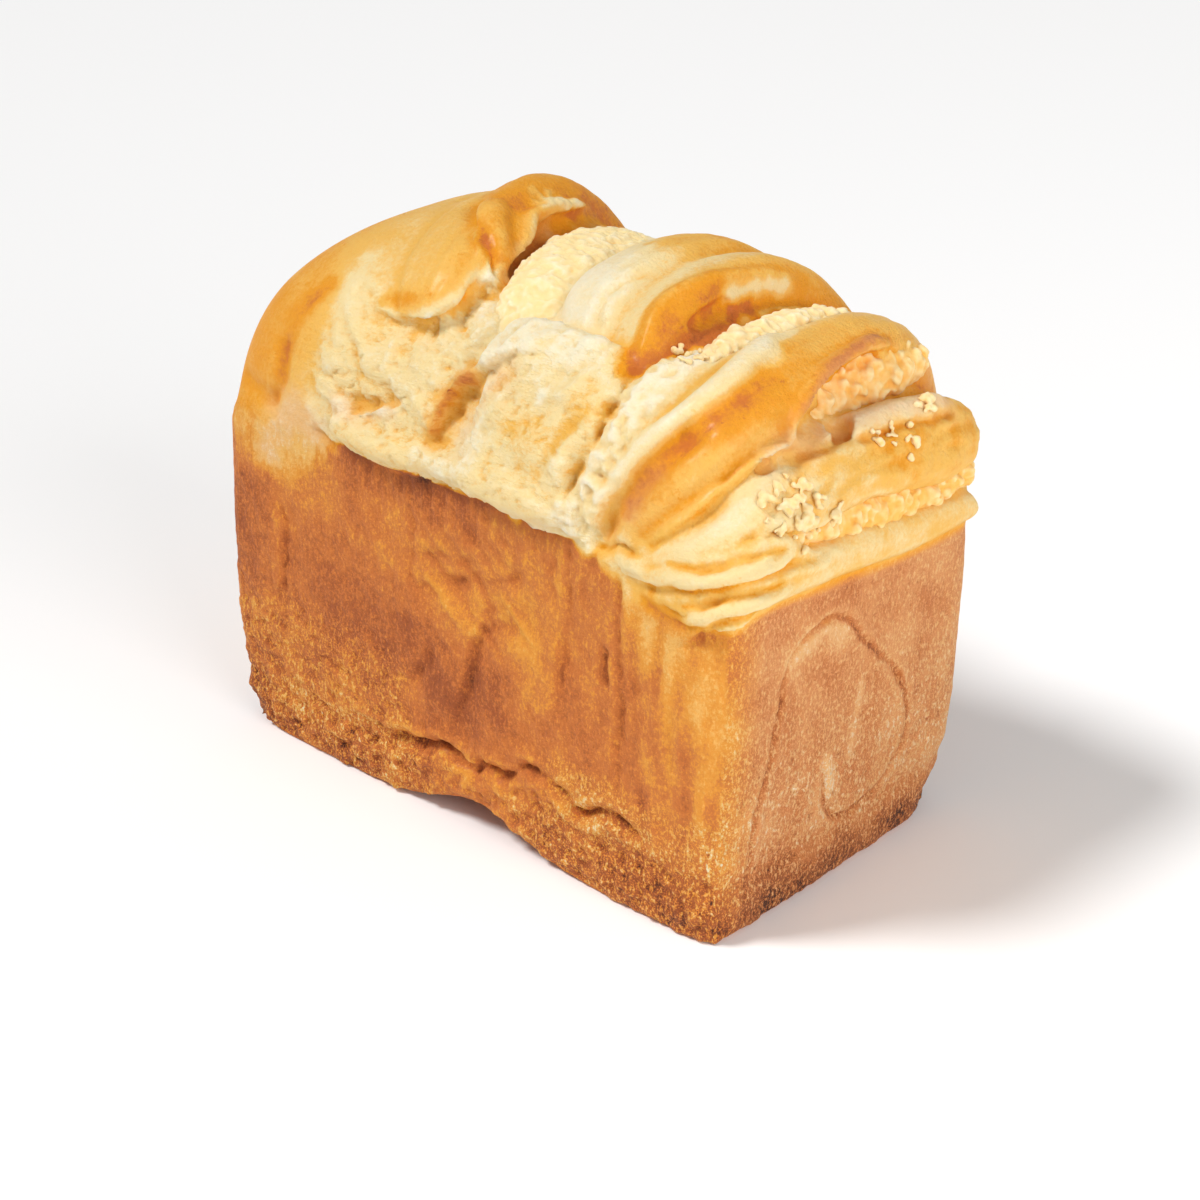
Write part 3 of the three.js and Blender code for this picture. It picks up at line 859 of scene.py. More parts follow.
# %% Steps and wrinkles
STEPS = {
    "pocket beside the flap": (
        [1, 4, 5.5, 5.5, 4, 2.4, 1.2, 0.4], 12,
        [(-9, -55, 114), (-7.5, -52, 120), (-6, -49, 125), (-3, -47, 131), (3, -47, 137),
         (11, -47, 143), (20, -45, 146), (30, -42, 147)],
    ),
    "edge of the bulge": (
        [0.5, 3, 3.5, 3.5, 3, 1], 7,
        [(-40, -43, 140), (-30, -43, 141), (-21, -42, 143), (-15, -38, 147), (-13, -34, 151),
         (-15, -28, 156)],
    ),
    "edge of the crest": (
        [1, 2.5, 3, 2.5, 2, 1], 5,
        [(-12, -20, 152), (-16, -13, 156), (-21, -4, 159), (-22, 4, 160), (-24, 15, 159),
         (-25, 27, 157)],
    ),
    "left of the crest": (
        [0.3, 1.6, 1.8, 1], 5, [(-36, -4, 165), (-33, -8, 165), (-29, -14, 164), (-23, -21, 161)],
    ),
    "left of the tongue": (
        [1, 3, 3, 2], 5, [(-8, -26, 154), (-11, -27, 157), (-16, -25, 159), (-22, -21, 161)],
    ),
    "lip of the strap": (
        [1, 3, 4, 4, 3, 1], 7,
        [(89, -24, 134), (88, -18, 140), (87, -12, 144), (85, -4, 146), (84, 6, 147), (83, 14, 147),
         (85, 23, 145)],
    ),
    "low edge of the strap": (
        [0.5, 2, 2.5, 2.5, 1.5], 5,
        [(68, -54, 109), (79, -49, 120), (84, -43, 127), (87, -35, 132), (89, -25, 134)],
    ),
    "ledge of the torn side": (
        [0.5, 2.2, 2.8, 2.8, 1], 6,
        [(-16, -53, 125), (-22, -55, 122), (-30, -56, 119), (-38, -56, 117), (-43, -55, 118)],
    ),
    "under the pleats": (
        [0.3, 1.5, 2, 1.5, 0.3], 3,
        [(80, -55, 88), (88, -55, 91.5), (94, -53, 95), (97, -48, 97), (98, -38, 98)],
    ),
    "flake on the end": (
        [0.3, 0.8, 0.8, 0.8, 0.3], 5,
        [(94, -32, 72), (94, -26, 79), (94, -18, 83), (94, -8, 83), (94, 0, 77)],
    ),
}
WRINKLES = {
    "upper wrinkle": (
        [0.2, 1.4, 1.6, 1.3, 0.2], 6, [(-18, -55, 80), (-6, -55, 84), (1, -55, 84), (9, -55, 87)],
    ),
    "second wrinkle": ([0.2, 1.4, 1.5, 0.2], 6, [(-9, -55, 76), (1, -55, 78), (11, -55, 83)]),
    "third wrinkle": ([0.2, 1.3, 0.2], 5, [(-18, -55, 68), (-12, -55, 73), (-3, -55, 71)]),
    "right wrinkle": ([0.2, 1.3, 1.3, 0.2], 5, [(12, -55, 81), (20, -55, 85), (26, -55, 90)]),
    "branch wrinkle": ([0.2, 1.3, 1.2, 0.2], 5, [(12, -55, 66), (19, -55, 71), (25, -55, 71)]),
    "long wrinkle": (
        [0.2, 1.6, 2.0, 2.0, 1.6, 0.2], 7,
        [(-4, -54, 26), (1, -55, 40), (5, -55, 52), (7, -55, 60), (11, -55, 69), (12, -55, 77)],
    ),
    "left fold": (
        [0.2, 1.3, 1.3, 0.2], 5, [(-23, -55, 37), (-15, -54, 44), (-11, -55, 51), (-8, -55, 59)],
    ),
    "right fold": (
        [0.3, 1.7, 1.8, 0.3], 6, [(37, -55, 50), (38, -55, 61), (39, -55, 70), (42, -55, 84)],
    ),
    "left crease fold": (
        [0.2, 1.2, 1.2, 0.2], 6, [(-70, -55, 45), (-68, -55, 60), (-68, -55, 74), (-72, -55, 84)],
    ),
}
print("steps:", len(STEPS), "wrinkles:", len(WRINKLES))

# %% [markdown]
# ## Pressing the strokes into the skin
# A sculptor would draw these lines with a crease brush. Here each stroke becomes a line on the skin,
# and the points near it move inwards by an amount that falls with their distance. The lines wander a
# little, because no crease in dough is straight.

# %% Helpers that find and dent the skin near a line
FAR_AWAY = 99.0
WRINKLE_FACE = 1.7
STEP_FACE = 0.9
BANK_SHARE = 0.25
CREASE_GAIN = 1.5
WANDER = 0.9
WANDER_SIZE = 6


def near_line(line, reach):
    """Points of the skin near a line, their distance to it and the step of the line that is nearest."""
    near = np.all((skin_points > line.min(0) - reach) & (skin_points < line.max(0) + reach), axis=1)
    chosen = np.flatnonzero(near)
    apart = np.sqrt(((skin_points[chosen, None] - line[None]) ** 2).sum(-1))
    nearest = apart.argmin(1)
    return chosen, apart[np.arange(len(chosen)), nearest], nearest


def away_from(line, reach):
    """Distance of each point of the skin to a line, where it is nearer than `reach`."""
    chosen, apart, _ = near_line(line, reach)
    away = np.full(len(skin_points), FAR_AWAY)
    away[chosen] = apart
    return away


def wandering(line, amount, size, seed):
    """A line moved a little to and fro by noise."""
    return line + amount * np.stack([noise(line, size, seed + axis) for axis in range(3)], -1)


def crease_dent(depth, half, points):
    """A sharp crease that thins at its ends and has a low bank on both sides."""
    line, _ = line_on_skin(skin_tree, points)
    line = wandering(line, WANDER, WANDER_SIZE, 90)
    line = wandering(line, 0.5 * WANDER, 0.4 * WANDER_SIZE, 93)
    chosen, apart, nearest = near_line(line, 5 * half)
    taper = np.sin(np.pi * np.clip((nearest + 1) / (len(line) + 1), 0, 1)) ** 0.5
    uneven = 1.0 + 0.8 * noise(line, 5, len(points))[nearest]
    made = np.zeros(len(skin_points))
    profile = np.exp(-1.4 * apart / half) - BANK_SHARE * bell(apart - 2.2 * half, 1.2 * half)
    made[chosen] = CREASE_GAIN * depth * taper * np.maximum(uneven, 0.3) * profile
    return made


def step_dent(depths, reach, points, face):
    """A sheet's edge: the skin drops on the right-hand side of the line and rises again over `reach`."""
    line, out = line_on_skin(skin_tree, points)
    line = wandering(line, 0.5 * WANDER, WANDER_SIZE, 90)
    way = unit(np.gradient(line, axis=0))
    right_hand = unit(np.cross(way, out))
    chosen, apart, nearest = near_line(line, 3 * reach)
    sideways = ((skin_points[chosen] - line[nearest]) * right_hand[nearest]).sum(1)
    depth = along(depths, nearest / (len(line) - 1))
    made = np.zeros(len(skin_points))
    made[chosen] = depth * ease(sideways, -face, face) * bell(apart, reach)
    return made


# %% Dent the skin
EVEN_PULL = 0.6
STEEP_FROM = 2.5
STEEP_FULL = 5
STEEP_PULL = 0.5
STEEP_ROUNDS = 3

skin_tree = skin_tree_of(loaf)
for half, points in EVENED.values():
    evened = bell(away_from(line_on_skin(skin_tree, points)[0], 3 * half), half)
    skin_points = relax(loaf, skin_points, EVEN_PULL * evened, EVEN_ROUNDS)
write_points(loaf, skin_points)
skin_tree = skin_tree_of(loaf)
skin_normals = read_normals(loaf)
dent = np.zeros(len(skin_points))
for depth, half, points in SOFT_STROKES.values():
    dent += depth * bell(away_from(line_on_skin(skin_tree, points)[0], 3 * half), half)
for depths, reach, points in STEPS.values():
    dent += step_dent(depths, reach, points, STEP_FACE)
for depths, reach, points in WRINKLES.values():
    dent += step_dent(depths, reach, points, WRINKLE_FACE)
for depth, half, points in CREASES.values():
    dent += crease_dent(depth, half, points)
skin_points = skin_points - skin_normals * dent[:, None]
steep = ease(np.abs(dent), STEEP_FROM, STEEP_FULL)
skin_points = relax(loaf, skin_points, STEEP_PULL * steep, STEEP_ROUNDS)
write_points(loaf, skin_points)
print("deepest dent", round(dent.max(), 1), "mm, points in steep dents:", round(steep.sum()))

# %% [markdown]
# ## Regions of the skin
# The flat walls, the torn sides, the lips over the walls and the rough collar above the base all look
# different. Each is a share between 0 and 1 at every point, found from the height, the strap and the
# way the skin faces. Vertex groups painted by hand could do this too, but a rule stays right when a
# size changes.

# %% Shares of the walls, lips and torn sides
TORN_LIPS = ("lip of the torn side", "lip of the flap")
LIPS = TORN_LIPS + ("tip of the strip",)
LIP_FOOT = (102.5, 104.5)
LIP_REACH = 9

x, y, z = skin_points.T
skin_normals = read_normals(loaf)
roll_lines = {name: line_on_skin(skin_tree, points)[0] for name, (_, _, _, points) in ROLLS.items()}
gap_lines = {name: line_on_skin(skin_tree, points)[0] for name, (_, _, _, points) in GAPS.items()}
below_lip = 1 - ease(z, 101, 104)
for name in ("torn_side", "torn_flap"):
    plain_share = plain_share + shares[name] * below_lip
    shares[name] = shares[name] * (1 - below_lip)
lip_share = np.zeros(len(skin_points))
for name in LIPS:
    radius = ROLLS[name][0]
    away = away_from(roll_lines[name], LIP_REACH)
    lip_share = np.maximum(lip_share, 1 - ease(away, radius + 0.2, radius + 1.2))
lip_share = lip_share * ease(z, *LIP_FOOT)
upright_share = 1 - ease(np.abs(skin_normals[:, 2]), 0.6, 0.9)
wall = plain_share * (1 - ease(z, 98, 108)) * upright_share * (1 - lip_share)
end_wall = wall * ease(np.abs(skin_normals[:, 0]), 0.6, 0.9)
side_wall = wall - end_wall
torn = np.clip(shares["torn_side"] + shares["torn_flap"] + lip_share, 0, 1)
print("points of the walls:", round(wall.sum()), "of torn dough:", round(torn.sum()))

# %% Smaller places with a look of their own
SHREDS = (
    [(-25, 7, 165), (-24, 12, 164), (-22, 17, 161)],
    [(-18, -39, 143), (-13, -33, 146), (-11, -28, 152)],
)
SHRED_REACH = 12
SHRED_HALF = 4

# Porous dough low on the left of the front wall, with an uneven border.
spongy = side_wall * ease(-x + 12 * noise(skin_points, 18, 31), -5, 35) * (1 - ease(z, 34, 66))
# Slanting wrinkles in the middle of the front wall.
creased = side_wall * bell(x - 8, 34) * bell(z - 76, 20)
# Dough pulled into threads right under the lips.
under_lip_fibre = side_wall * ease(z, 84, 100)
# Upright streaks near the front right corner.
column = side_wall * ease(x, 56, 66) * ease(z, 20, 40)
# The collar that the base of the tin left, and the rough crease above it.
collar = wall * (1 - ease(z, 14, 24))
collar_rough = side_wall * bell(z - 22, 8) * ease(-y, 40, 50) * bell(x - 15, 55)
# Two places where the skin of the dough tore into shreds.
shred_lines = [line_on_skin(skin_tree, places_of_line)[0] for places_of_line in SHREDS]
ragged_place = np.maximum(*[bell(away_from(line, SHRED_REACH), SHRED_HALF) for line in shred_lines])
print("spongy points:", round(spongy.sum()), "ragged points:", round(ragged_place.sum()))

# %% [markdown]
# ## Fine relief
# Each row below adds one kind of noise to one region. Bumps go up and down, ridges have the sharp
# crests that the absolute value of noise makes, and pits are cut only where the noise is high. A size
# of three numbers stretches the noise along an axis, and a slanted way turns it, which gives streaks
# and threads.

# %% Rows of bumps, ridges and pits
BUMPS = [
    # region, way of the noise, height, distance of the bumps, seed
    ("side wall", "straight", 0.6, (15, 15, 22), 2),
    ("side wall", "straight", 0.3, (5, 5, 7), 1),
    ("side wall", "straight", 0.22, (2.4, 2.4, 3.2), 32),
    ("creased", "slanted", 0.6, (14, 6, 3.2), 38),
    ("under the lip", "straight", 0.5, (2.4, 2.4, 14), 22),
    ("spongy", "straight", 0.5, (9, 9, 7), 24),
    ("column", "straight", 0.7, (5, 5, 20), 52),
    ("end wall", "straight", 0.4, (9, 15, 17), 3),
    ("end wall", "straight", 0.16, (2.6, 2.6, 3.6), 25),
    ("collar", "straight", 0.8, (6, 6, 4.5), 4),
    ("collar", "straight", 0.7, 2.6, 26),
    ("collar crease", "straight", 0.6, 4.2, 41),
    ("collar crease", "straight", 0.5, 2.2, 42),
    ("torn", "straight", 0.9, (13, 12, 9), 5),
    ("torn flap", "straight", 0.5, (7, 7, 6), 40),
    ("torn flap", "flap", 0.45, (11, 4, 3), 43),
    ("strip", "straight", 0.9, 2.4, 29),
    ("corner fold", "straight", 0.35, (6, 6, 4), 46),
    ("corner fold", "straight", 0.15, 2.4, 47),
    ("ragged", "straight", 0.8, 3, 48),
    ("ragged", "straight", 0.6, 1.8, 49),
]
RIDGES = [
    # region, way of the noise, height of the crest, fall beside it, distance of the ridges, seed
    ("creased", "slanted", 0.6, 2.0, (26, 10, 7), 21),
    ("torn side", "torn", 0.2, 0.6, (5, 5, 2.8), 34),
    ("torn flap", "flap", 0.7, 2.2, (26, 12, 8), 37),
    ("strip", "straight", 1.0, 2.4, 5.5, 28),
    ("corner fold", "corner", 0.3, 0.9, (20, 5, 1), 45),
]
PITS = [
    # region, depth, distance of the pits, seed, noise where a pit starts and where it is deepest
    ("spongy", 0.35, (4, 4, 3.2), 23, 0.1, 0.5),
    ("spongy", 0.45, (2.4, 2.4, 2.2), 33, 0.05, 0.5),
    ("torn", 0.55, (2.7, 2.7, 2.3), 27, 0.3, 0.5),
    ("strip", 0.8, 3.4, 44, 0.25, 0.45),
]
print("kinds of relief:", len(BUMPS) + len(RIDGES) + len(PITS))

# %% Add the rows to the skin
SLANT = np.array([[0.8, 0, 0.6], [0, 1, 0], [-0.6, 0, 0.8]])
FLAP_SLANT = np.array([[0.48, 0, 0.87], [0, 1, 0], [0.87, 0, -0.48]])
TORN_WANDER = 2.4
CORNER_LENGTH = 120
CORNER_HALF_WIDTH = 10

regions = {
    "side wall": side_wall,
    "end wall": end_wall,
    "creased": creased,
    "under the lip": under_lip_fibre,
    "spongy": spongy,
    "column": column,
    "collar": collar - 0.7 * end_wall * collar,
    "collar crease": collar_rough,
    "torn": torn,
    "torn side": shares["torn_side"],
    "torn flap": shares["torn_flap"],
    "strip": shares["strip"],
    "corner fold": shares["corner_fold"],
    "ragged": ragged_place,
}
corner_place, corner_across, _ = places["corner_fold"]
slanted = skin_points @ SLANT
flap_way = skin_points @ FLAP_SLANT
torn_way = slanted + TORN_WANDER * np.stack([noise(skin_points, 7, 50 + axis) for axis in range(3)], -1)
corner_way = np.stack(
    [corner_place * CORNER_LENGTH, corner_across * CORNER_HALF_WIDTH, np.zeros(len(x))],
    -1,
)
ways = {
    "straight": skin_points,
    "slanted": slanted,
    "flap": flap_way,
    "torn": torn_way,
    "corner": corner_way,
}
push = np.zeros(len(skin_points))
for region, way, height, size, seed in BUMPS:
    push += regions[region] * height * noise(ways[way], size, seed)
for region, way, crest, fall, size, seed in RIDGES:
    push += regions[region] * (crest - fall * np.abs(noise(ways[way], size, seed)))
for region, depth, size, seed, start, deepest in PITS:
    push -= regions[region] * depth * ease(noise(skin_points, size, seed), start, deepest)
print("relief so far up to", round(np.abs(push).max(), 2), "mm")

# %% Layers of the torn side and stretch lines of the straps
LAYER_EDGES = ((-0.3, -0.22), (0.0, 0.08), (0.28, 0.36))
LAYER_HEIGHT = 0.6
STRETCHED = ("bulge", "crest", "pair_left", "pair_right", "strap", "corner_fold", "end_fold", "layer")
STRETCH_LENGTH = 90

layers = noise(torn_way, (12, 12, 5.5), 6)
terraces = sum(ease(layers, low, high) for low, high in LAYER_EDGES) - len(LAYER_EDGES) / 2
push += shares["torn_side"] * LAYER_HEIGHT * terraces
swell = 0.4 * noise(skin_points, (15, 15, 12), 30) + 0.12 * noise(skin_points, 3.5, 18)
for name in STRETCHED:
    place, across, _ = places[name]
    strap_size = np.mean(FOLDS[name]["wide"])
    flat = np.stack([across * strap_size, place * STRETCH_LENGTH, np.zeros(len(place))], -1)
    push += shares[name] * 0.25 * noise(flat, (2.6, 30, 1), 7)
    push += shares[name] * swell
skin_points = skin_points + skin_normals * push[:, None]
write_points(loaf, skin_points)
print("relief up to", round(np.abs(push).max(), 2), "mm")

# %% [markdown]
# ## Bake colours
# One number tells how far each place is baked: 0 is raw cream, 0.4 golden, 0.7 chestnut and 1 burnt.
# It is stored on the points, and the material turns it into colour. Each strap has three lists of
# bakes that run along its left edge, its middle and its right edge, and one number for how much its
# egg wash shines.

# %% Bake and gloss of the straps
STRAP_BAKE = {
    "bulge": ([0.3, 0.36, 0.4, 0.42], [0.4, 0.4, 0.4, 0.42], [0.5, 0.5, 0.5, 0.5]),
    "crest": ([0.45, 0.5, 0.52, 0.56], [0.52, 0.55, 0.58, 0.6], [0.5, 0.6, 0.64, 0.6]),
    "torn_side": ([0.32, 0.28, 0.26], [0.25, 0.22, 0.22], [0.2, 0.17, 0.16]),
    "torn_flap": ([0.15, 0.13, 0.1], [0.12, 0.09, 0.09], [0.11, 0.09, 0.09]),
    "pair_left": (
        [0.08, 0.08, 0.4, 0.48, 0.6], [0.1, 0.12, 0.46, 0.5, 0.6], [0.2, 0.26, 0.44, 0.5, 0.6],
    ),
    "pair_right": (
        [0.22, 0.2, 0.26, 0.4, 0.55], [0.3, 0.24, 0.3, 0.42, 0.55], [0.64, 0.64, 0.58, 0.58, 0.6],
    ),
    "strip": ([0.05], [0.05], [0.07]),
    "strap": (
        [0.16, 0.18, 0.22, 0.3, 0.45], [0.36, 0.46, 0.5, 0.46, 0.44, 0.5],
        [0.36, 0.46, 0.52, 0.52, 0.52],
    ),
    "corner_fold": (
        [0.36, 0.38, 0.38, 0.44, 0.5], [0.34, 0.32, 0.37, 0.42, 0.5], [0.32, 0.32, 0.35, 0.4, 0.46],
    ),
    "layer": ([0.2], [0.18], [0.18]),
    "end_fold": ([0.26, 0.3, 0.34, 0.36], [0.26, 0.3, 0.34, 0.38], [0.3, 0.34, 0.4, 0.44]),
}
STRAP_GLOSS = {
    "bulge": 0.6, "crest": 0.6, "torn_side": 0.05, "torn_flap": 0.0, "pair_left": 0.5, "pair_right": 0.6,
    "strip": 0.0, "strap": 0.9, "corner_fold": 0.4, "layer": 0.1, "end_fold": 0.3,
}
print("straps with a bake:", len(STRAP_BAKE))

# %% [markdown]
# ## Painted places
# The oven browned some places of this loaf in their own way: the top of the crest, the flank of a
# fold. Other places are painted shade: the slits under the pleats and beside the seam, the pocket, the
# hollow of the torn side, the under side of the strap and the places named shade. Texture painting
# would do this by hand. Here each place is a short line with a bake and a half width, painted in this
# order with ragged edges, so it stays sharp at any size of picture.

# %% Places, their bake and their half width
PAINT = {
    "pale band of the dome": (
        0.22, 6, [(-51, -37, 149), (-48, -43, 144), (-44, -49, 136), (-47, -52, 124), (-52, -54, 114)],
    ),
    "pale shoulder": (0.32, 7, [(-72, -54, 94), (-68, -54, 102), (-62, -54, 107), (-54, -54, 104)]),
    "brown streak of the dome": (
        0.62, 3.5, [(-58, -42, 143), (-65, -48, 133), (-67, -50, 125), (-69, -52, 117)],
    ),
    "brown top of the crest": (0.63, 5, [(-28, -6, 165), (-28, 2, 167), (-27, 9, 166)]),
    "brown back of the crest": (0.66, 4, [(-26, 20, 163), (-26, 28, 159), (-26, 38, 153)]),
    "torn patch of the crest": (0.18, 4.0, [(-25, 8, 166), (-24, 12, 164)]),
    "end of the torn patch": (0.2, 2.4, [(-22, 16, 162), (-22, 20, 160)]),
    "face of the tongue": (0.74, 2.6, [(-19, -22, 161), (-15, -24, 159), (-11, -26, 156)]),
    "shade under the crest": (
        0.36, 3, [(-10, -21, 150), (-14, -13, 154), (-18, -5, 156), (-20, 5, 157)],
    ),
    "shade of the bulge": (
        0.54, 2.6,
        [(-36, -42, 145), (-30, -42, 146), (-22, -41, 148), (-17, -36, 152), (-18, -29, 157)],
    ),
    "gold of the flap": (0.33, 10, [(20, -53, 127), (30, -54, 124), (38, -52, 130), (42, -49, 138)]),
    "gold of the left fold": (0.5, 9, [(25, 8, 164), (27, 18, 162), (30, 32, 156), (32, 44, 144)]),
    "front of the right fold": (
        0.62, 3, [(46, -33, 151), (47, -30, 153), (46, -26, 156), (46, -21, 158)],
    ),
    "flank of the right fold": (
        0.68, 4.5, [(45, -36, 146), (48, -34, 147), (49, -28, 151), (50, -19, 155), (52, -8, 156)],
    ),
    "torn skin of the right fold": (0.16, 2.6, [(51, -2, 158), (53, 8, 157), (56, 18, 155)]),
    "orange of the strap": (0.62, 7, [(66, -50, 124), (75, -43, 136), (80, -34, 143), (81, -22, 146)]),
    "gold roll of the strap": (0.46, 4, [(66, -53, 113), (77, -49, 124), (84, -42, 133)]),
    "pale ridge of the strap": (
        0.17, 4,
        [(64, -1, 150), (70, -16, 149), (71, -30, 148), (68, -41, 141), (61, -49, 133), (54, -53, 121)],
    ),
    # Painted shade from here to the under side of the strap: the foot of the valley, the hollow of the
    # torn side, the pocket and its side, the face of the layer and the under side of the strap.
    "shade at the foot of the valley": (0.58, 3, [(55, -54, 110), (61, -52, 119), (67, -48, 128)]),
    "shade in the hollow of the torn side": (
        0.22, 3, [(-24, -54, 120), (-31, -55, 117), (-38, -55, 115), (-44, -54, 116)],
    ),
    "shade beside the pocket": (0.28, 4.5, [(2, -52, 120), (3, -50, 126), (6, -49, 132), (12, -48, 138)]),
    "shade of the pocket": (0.8, 3.4, [(-6, -51, 117), (-5, -48, 122), (-4, -46, 127), (1, -46, 133)]),
    "shade on the face of the layer": (
        0.26, 4, [(87, -12, 132), (90, 0, 134), (91, 12, 133), (92, 24, 131), (91, 36, 128)],
    ),
    "shade on the under side of the strap": (
        0.36, 4, [(88, -32, 133), (88, -24, 134), (88, -17, 132), (86, -9, 131), (87, -4, 129)],
    ),
    "gold below the pleats": (0.62, 5, [(70, -55, 95), (80, -55, 93), (88, -55, 88)]),
    "shreds beside the bulge": (
        0.04, 4.2,
        [(-18, -39, 143), (-14, -35, 145), (-13, -32, 147), (-12, -29, 151), (-10, -27, 154)],
    ),
    "rim of the strap": (
        0.76, 2.3,
        [(88, -17, 141), (87, -13, 143.5), (86, -9, 145.5), (85, -4, 147.5), (84, 3, 148.5),
         (82, 18, 148.5)],
    ),
    "end of the corner fold": (0.5, 9, [(99, 8, 122), (97, 24, 122), (92, 40, 120)]),
    # The slits over and under the pleats are painted dark as painted shade in them.
    "slit over the pleats": (
        0.5, 0.7, [(76, -55, 108), (86, -55, 110), (94, -49, 113), (98, -37, 113)],
    ),
    "slit under the first pleat": (
        0.56, 0.7, [(74, -55, 101.5), (84, -55, 104), (94, -48.5, 107.3), (97, -34, 107.8)],
    ),
    "slit under the second pleat": (
        0.56, 0.7, [(82, -55, 98.5), (88, -55, 100.5), (94, -50, 103), (97, -38, 103.6)],
    ),
    "slit under the third pleat": (
        0.56, 0.7, [(82, -55, 93), (88, -55, 95.5), (94, -52, 98.3), (97, -44, 99.5)],
    ),
    "flake on the end": (0.46, 4.5, [(94, -26, 76), (94, -20, 79), (94, -12, 79), (94, -5, 76)]),
    "heart of the roll": (0.46, 2.4, [(94, -10, 40), (94, -8, 35), (94, -7, 30)]),
    "streak of the roll": (0.5, 1.6, [(94, 4, 58), (94, 3, 48), (94, 1, 38)]),
    "line of the roll": (
        0.9, 0.8,
        [(93, -41, 6), (93, -39, 33), (94, -34, 52), (94, -30, 70), (94, -25, 79), (94, -13, 83),
         (94, -4, 80), (94, 2, 73), (94, 10, 65), (94, 19, 57), (94, 25, 46), (94, 27, 34),
         (93, 18, 22), (93, 4, 18), (94, -6, 21), (94, -10, 30)],
    ),
    "burnt spot": (1.0, 2.0, [(93, 27, 4), (92, 28, 8)]),
    "black speck": (1.0, 1.1, [(-85, -54, 82)]),
    # Painted shade in the slit beside the seam.
    "slit beside the seam": (0.78, 1.0, [(55, -55, 77), (55, -55, 71), (56, -55, 66)]),
}
# Dull places take the dull row of colours. The shaded ones among them are painted shade; the rim of the
# strap is the crust's own reddish brown.
DULL_PAINT = (
    "pale shoulder", "shade in the hollow of the torn side", "shade of the pocket", "shade on the under side of the strap",
    "shade at the foot of the valley", "shade beside the pocket", "shade on the face of the layer", "shade under the crest",
    "rim of the strap",
)
print("painted places:", len(PAINT), "of them dull:", len(DULL_PAINT))

# %% [markdown]
# ## Bake of the plain dough
# The walls that touched the tin are brown all over, with darker feet and paler corners, and the open
# crown goes from gold to cream. Hollows are painted darker and crests paler, as painted shade and
# painted light, so the skin is compared with smoothed copies of itself, one fine and one wide. A
# Pointiness input would do that in Cycles only, this also works elsewhere.

# %% Hollows and the bake of the walls
FINE_ROUNDS = 10
WIDE_ROUNDS = 40
WALL_BAKE = 0.73
CROWN_BAKE = 0.37
VALLEY_BAKE = 0.15


def strap_bake(name):
    """Bake of a strap at each point, from its left edge, middle and right edge."""
    place, across, _ = places[name]
    left, middle, right = (along(values, place) for values in STRAP_BAKE[name])
    edge = np.where(across < 0, left, right)
    return middle + (edge - middle) * across**2


def hollowness(points, smooth, normals, low, high):
    """How far each point lies under a smoothed skin: above 0 in hollows, below 0 on crests."""
    return np.clip(((smooth - points) * normals).sum(1), low, high)


x, y, z = skin_points.T
skin_normals = read_normals(loaf)
smooth_points = relax(loaf, skin_points, np.ones(len(skin_points)), FINE_ROUNDS)
cavity = hollowness(skin_points, smooth_points, skin_normals, -1, 1.5)
wide_points = relax(loaf, smooth_points, np.ones(len(skin_points)), WIDE_ROUNDS)
wide_cavity = hollowness(skin_points, wide_points, skin_normals, -1.5, 2.5)

# The crown is golden on the dome and cream in the valleys between the straps.
dome_bake = CROWN_BAKE + 0.18 * ease(-x, 45, 80) + 0.12 * ease(y, 0, 50)
strap_foot = ease(x, 58, 72) * ease(-y, 0, 30) * (1 - ease(z, 104, 112))
valley_bake = VALLEY_BAKE + 0.4 * ease(y, 10, 50) + 0.2 * strap_foot
crown_bake = dome_bake + (valley_bake - dome_bake) * ease(x, -38, -22)
# The front right corner is paler, most of all high up.
wall_bake = WALL_BAKE - 0.07 * ease(x, 58, 78) * side_wall * (0.3 + 0.7 * ease(z, 20, 65))
# The foot of the walls and the left of the front wall are darker.
wall_bake += (0.08 + 0.06 * ease(-x, 20, 60)) * (1 - ease(z, 4, 24)) + 0.09 * ease(-x, 62, 92) * side_wall
# Upright streaks near the corner.
wall_bake += column * 0.12 * noise(skin_points, (5, 5, 20), 53)
# The end wall has the darkest foot and is paler towards the back.
wall_bake += end_wall * (0.22 * (1 - ease(z, 2, 24)) - 0.05 * ease(y, 0, 40) - 0.04)
# Clouds, large and small.
wall_bake += 0.08 * noise(skin_points, (18, 18, 26), 11) + 0.05 * noise(skin_points, (6, 6, 10), 39)
# Painted shadow of the lips: right under them the wall is darker on the left and a little paler on the
# right.
under_lip = ease(x, -58, -48) * (1 - ease(x, 52, 64)) * ease(-y, 30, 45)
wall_bake += (0.1 - 0.12 * ease(x, -10, 30)) * under_lip * ease(z, 88, 102)
# A brown cloud left of the middle, with paler wrinkles above it.
wall_bake += side_wall * (0.12 * bell(x + 20, 45) * bell(z - 48, 16) - 0.06 * creased)
# Close to the corner the foot is darker and the top paler.
corner_fall = 0.12 * side_wall * (1 - ease(z, 12, 30)) - 0.1 * side_wall * ease(z, 60, 85)
wall_bake += ease(x, 50, 70) * corner_fall
print("bake of the walls", round(np.average(wall_bake, weights=wall), 2))

# %% Mix walls, straps, rolled edges and painted places
ROLL_SPREAD = 1.2
GAP_SPREAD = 1.0
LINE_WEIGHT = 0.8
PAINT_RAGGED = 0.35

frayed = 4 * noise(skin_points, (4, 4, 40), 13) * (1 - under_lip)
border = 84 + 28 * under_lip + 10 * ease(x, 84, 92) + frayed
plain_bake = crown_bake + (wall_bake - crown_bake) * (1 - ease(z, border, border + 16 - 12 * under_lip))
bake = plain_share * plain_bake + sum(shares[name] * strap_bake(name) for name in FOLDS)
